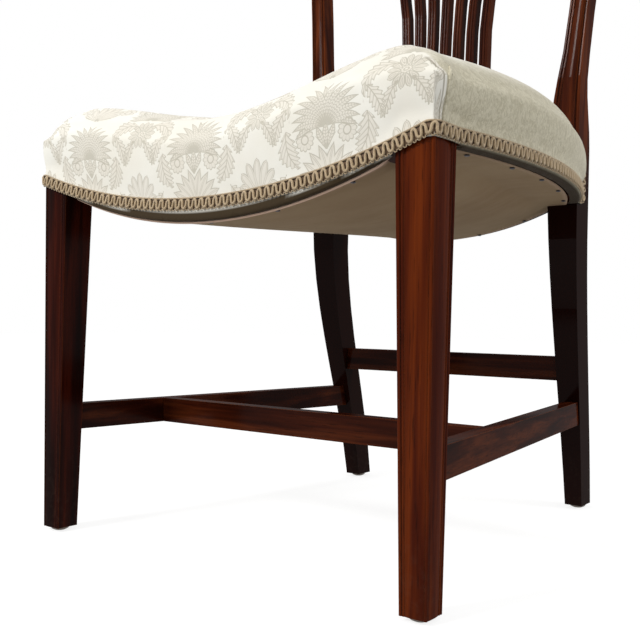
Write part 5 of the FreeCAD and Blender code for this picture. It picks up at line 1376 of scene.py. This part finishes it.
# The folded rim is painted pale pink, strongest along the front: a painted highlight.
pen.feed(shader.inputs["Base Color"], pen.blend(rim, cloth_colour, linear(250, 214, 190)))
pen.feed(shader.inputs["Normal"], pen.bump(thread, 0.0003, 0.5, pen.bump(ripple, 0.004, 0.5)))

CLOTH_FRONT, CLOTH_REAR = LEG_FRONT + 0.005, 0.1905
CLOTH_SIDE_INSET, CLOTH_THICKNESS = 0.014, 0.0012


def under_height(x, y):
    """Height of the rails' underside where the cloth lies on it, with the sag between the rails."""
    share = rail_share(y)
    share = share * share * (3 - 2 * share) * 0.35 + share * 0.65
    half = between_posts(share)
    depth = FRONT_DISH + (REAR_DISH - FRONT_DISH) * share
    side_rail = RAIL_BOTTOM - CLOTH_THICKNESS
    dished = side_rail - FRONT_RAIL_DROP * (1 - share) - dish(half, depth, min(abs(x), half - 1e-6))
    return dished + (side_rail - dished) * clamped((abs(x) - half + 0.012) / 0.016)


def cloth_half_width(y):
    return bowed_side(min(max(y, LEG_BACK), POST_FRONT)) - CLOTH_SIDE_INSET


def bottom_cloth_mesh():
    """A grid from front to back, notched at legs and posts, with its rim marked for the painted highlight of the fold.
    """
    front_cut = (LEG_INNER - 0.0008) / cloth_half_width(CLOTH_FRONT)
    rear_cut = (POST_INNER - 0.0008) / cloth_half_width(CLOTH_REAR)
    across = sorted(set(evenly(61, -1, 1) + [-front_cut, front_cut, -rear_cut, rear_cut]))
    along = sorted(set(evenly(54, CLOTH_FRONT, CLOTH_REAR) + [LEG_BACK + 0.0008, POST_FRONT - 0.0008]))
    points = [(p * cloth_half_width(y), y, under_height(p * cloth_half_width(y), y)) for y in along for p in across]
    wide = len(across)
    faces = []
    for row in range(len(along) - 1):
        for column in range(wide - 1):
            middle = abs(across[column] + across[column + 1]) / 2
            y = (along[row] + along[row + 1]) / 2
            if (y < LEG_BACK + 0.0008 and middle > front_cut) or (y > POST_FRONT - 0.0008 and middle > rear_cut):
                continue
            a = row * wide + column
            faces.append((a, a + wide, a + wide + 1, a + 1))
    mesh = bpy.data.meshes.new("bottom_cloth")
    mesh.from_pydata(points, [], faces)
    shape = bmesh.new()
    shape.from_mesh(mesh)
    bmesh.ops.delete(shape, geom=[v for v in shape.verts if not v.link_faces], context="VERTS")
    fold = shape.verts.layers.float.new("fold")
    rim = {vertex for edge in shape.edges if edge.is_boundary for vertex in edge.verts}
    for vertex in rim:
        vertex[fold] = 1.0 if vertex.co.y < CLOTH_FRONT + 0.001 else 0.3
        vertex.co.z -= 0.0006
    shape.to_mesh(mesh)
    shape.free()
    return mesh


def add_front_fold(mesh):
    """The rolled front edge of the bottom cloth, a thin tube from leg to leg."""
    joined = bmesh.new()
    joined.from_mesh(mesh)
    fold = joined.verts.layers.float["fold"]
    rings = []
    for x in evenly(60, 0.0015 - LEG_INNER, LEG_INNER - 0.0015):
        centre = Vector((x, CLOTH_FRONT + 0.0003, under_height(x, CLOTH_FRONT) - 0.0010))
        rings.append([joined.verts.new(centre + Vector((0, math.cos(a), math.sin(a))) * 0.0013)
                      for a in evenly(9, 0, 2 * math.pi)[:-1]])
    made = [joined.faces.new(rings[0]), joined.faces.new(rings[-1][::-1])]
    for one, other in zip(rings, rings[1:]):
        made += [joined.faces.new((one[n], one[n - 1], other[n - 1], other[n])) for n in range(8)]
    bmesh.ops.recalc_face_normals(joined, faces=made)
    # The tube is marked for the same painted highlight.
    for vertex in (vertex for ring in rings for vertex in ring):
        vertex[fold] = 1.0
    for face in made:
        face.smooth = True
    joined.to_mesh(mesh)
    joined.free()


cloth = add_piece("dust_cloth", bottom_cloth_mesh(), cambric)
thicken(cloth, CLOTH_THICKNESS * 0.75)
add_front_fold(cloth.data)
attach(cloth, "root")
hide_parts("bottom_cloth")

# %% [markdown]
# Blued cut tacks hold the bottom cloth. One small domed head is modelled, and Geometry Nodes set it on the line
# of points under the rails.

# %% Tacks
tack_tree = geometry_tree("tack_row", [("Head", "length"), ("Finish", "material")])
pen = Builder(tack_tree)
given = pen.add_node("NodeGroupInput").outputs
points = pen.through("GeometryNodeMeshToPoints", given["Geometry"])
dome = pen.add_node("GeometryNodeMeshUVSphere")
dome.inputs["Segments"].default_value, dome.inputs["Rings"].default_value = 10, 6
pen.feed(dome.inputs["Radius"], given["Head"])
flat_head = pen.through("GeometryNodeTransform", dome.outputs[0], Scale=(1.0, 1.0, 0.4))
shank = pen.add_node("GeometryNodeMeshCone")
for title, item in (("Vertices", 6), ("Radius Top", 0.0002), ("Radius Bottom", 0.0007), ("Depth", 0.008)):
    shank.inputs[title].default_value = item
whole = pen.add_node("GeometryNodeJoinGeometry")
pen.tree.links.new(flat_head, whole.inputs[0])
pen.tree.links.new(shank.outputs[0], whole.inputs[0])
rows = pen.add_node("GeometryNodeInstanceOnPoints")
pen.feed(rows.inputs["Points"], points)
pen.feed(rows.inputs["Instance"], whole.outputs[0])
real = pen.through("GeometryNodeRealizeInstances", rows.outputs[0])
smooth = pen.through("GeometryNodeSetShadeSmooth", real)
pen.feed(pen.add_node("NodeGroupOutput").inputs[0],
         pen.through("GeometryNodeSetMaterial", smooth, Material=given["Finish"]))

TACKS_PER_SIDE, TACK_MARGIN, TACK_HEAD = 5, 0.005, 0.0028
tack_points = []
for number in range(TACKS_PER_SIDE):
    place = (number + 0.5) / TACKS_PER_SIDE * 2 - 1
    for y, half in ((CLOTH_FRONT + TACK_MARGIN, LEG_INNER), (CLOTH_REAR - TACK_MARGIN, POST_INNER)):
        tack_points.append((place * (half - 0.006), y))
    y = (LEG_BACK + POST_FRONT) / 2 + place * (POST_FRONT - LEG_BACK) / 2
    for way in (-1, 1):
        tack_points.append((way * (bowed_side(y) - CLOTH_SIDE_INSET - TACK_MARGIN), y))
guide = bpy.data.meshes.new("tack_places")
guide.from_pydata([(x, y, under_height(x, y) - CLOTH_THICKNESS) for x, y in tack_points], [], [])
tacks = run_nodes("cloth_tacks", guide, tack_tree, {"Head": TACK_HEAD, "Finish": blued_steel})
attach(tacks, "root")
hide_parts("bottom_cloth_tacks")
print(len(tack_points), "tacks")

# %% [markdown]
# The photograph has a plain white ground and soft light from the left. The camera, reflections and glass see a
# white world, while the light that reaches the chair is weaker. The floor is a mid grey that bounces little light
# up, and it adds a glow for those same rays, so that it meets the white world without a line and still keeps the
# chair's soft shadow.

# %% Floor and world
SKY_LIGHT, FLOOR_GLOW = 0.6, 0.81
floor_mesh = bpy.data.meshes.new("floor")
floor_mesh.from_pydata([(-9, -9, 0), (9, -9, 0), (9, 9, 0), (-9, 9, 0)], [], [(0, 1, 2, 3)])
floor_finish, shader, pen = new_material("floor", Roughness=0.9, Specular_IOR_Level=0.0,
                                         Emission_Color=(1, 1, 1, 1))


def seen_rays(pen):
    """1 for the rays that show a background: the camera's, and those in reflections and glass."""
    rays = pen.add_node("ShaderNodeLightPath").outputs
    return pen.higher(rays["Is Camera Ray"], pen.higher(rays["Is Glossy Ray"], rays["Is Transmission Ray"]))


place = object_place(pen)
pen.feed(shader.inputs["Base Color"],
         pen.blend(pen.times(pen.noise(place, 30.0), 0.3), linear(156, 156, 155), linear(151, 151, 151)))
pen.feed(shader.inputs["Emission Strength"], pen.times(seen_rays(pen), FLOOR_GLOW))
floor = add_piece("floor", floor_mesh, floor_finish)

world = bpy.data.worlds.new("studio")
bpy.context.scene.world = world
world.use_nodes = True
pen = Pen(world.node_tree)
sky = world.node_tree.nodes["Background"]
sky.inputs["Color"].default_value = (1, 1, 1, 1)
pen.feed(sky.inputs["Strength"], pen.plus(SKY_LIGHT, pen.times(seen_rays(pen), 1 - SKY_LIGHT)))

# %% Lamps
def soft_lamp(name, place, aim, size, power):
    """A large square lamp that looks at a point."""
    light = bpy.data.lights.new(name, "AREA")
    light.size, light.energy = size, power
    lamp = bpy.data.objects.new(name, light)
    toward = Vector(aim) - Vector(place)
    lamp.matrix_world = Matrix.Translation(place) @ toward.to_track_quat("-Z", "Y").to_matrix().to_4x4()
    bpy.context.scene.collection.objects.link(lamp)


soft_lamp("window", (-0.7, -2.6, 1.9), (0, 0, 0.4), 0.6, 52)
soft_lamp("fill", (2.2, 0.6, 1.6), (0, 0, 0.4), 0.7, 15)
bpy.context.scene.view_settings.view_transform = "Standard"

# %% Tidy up and finish
bpy.data.objects.remove(form)
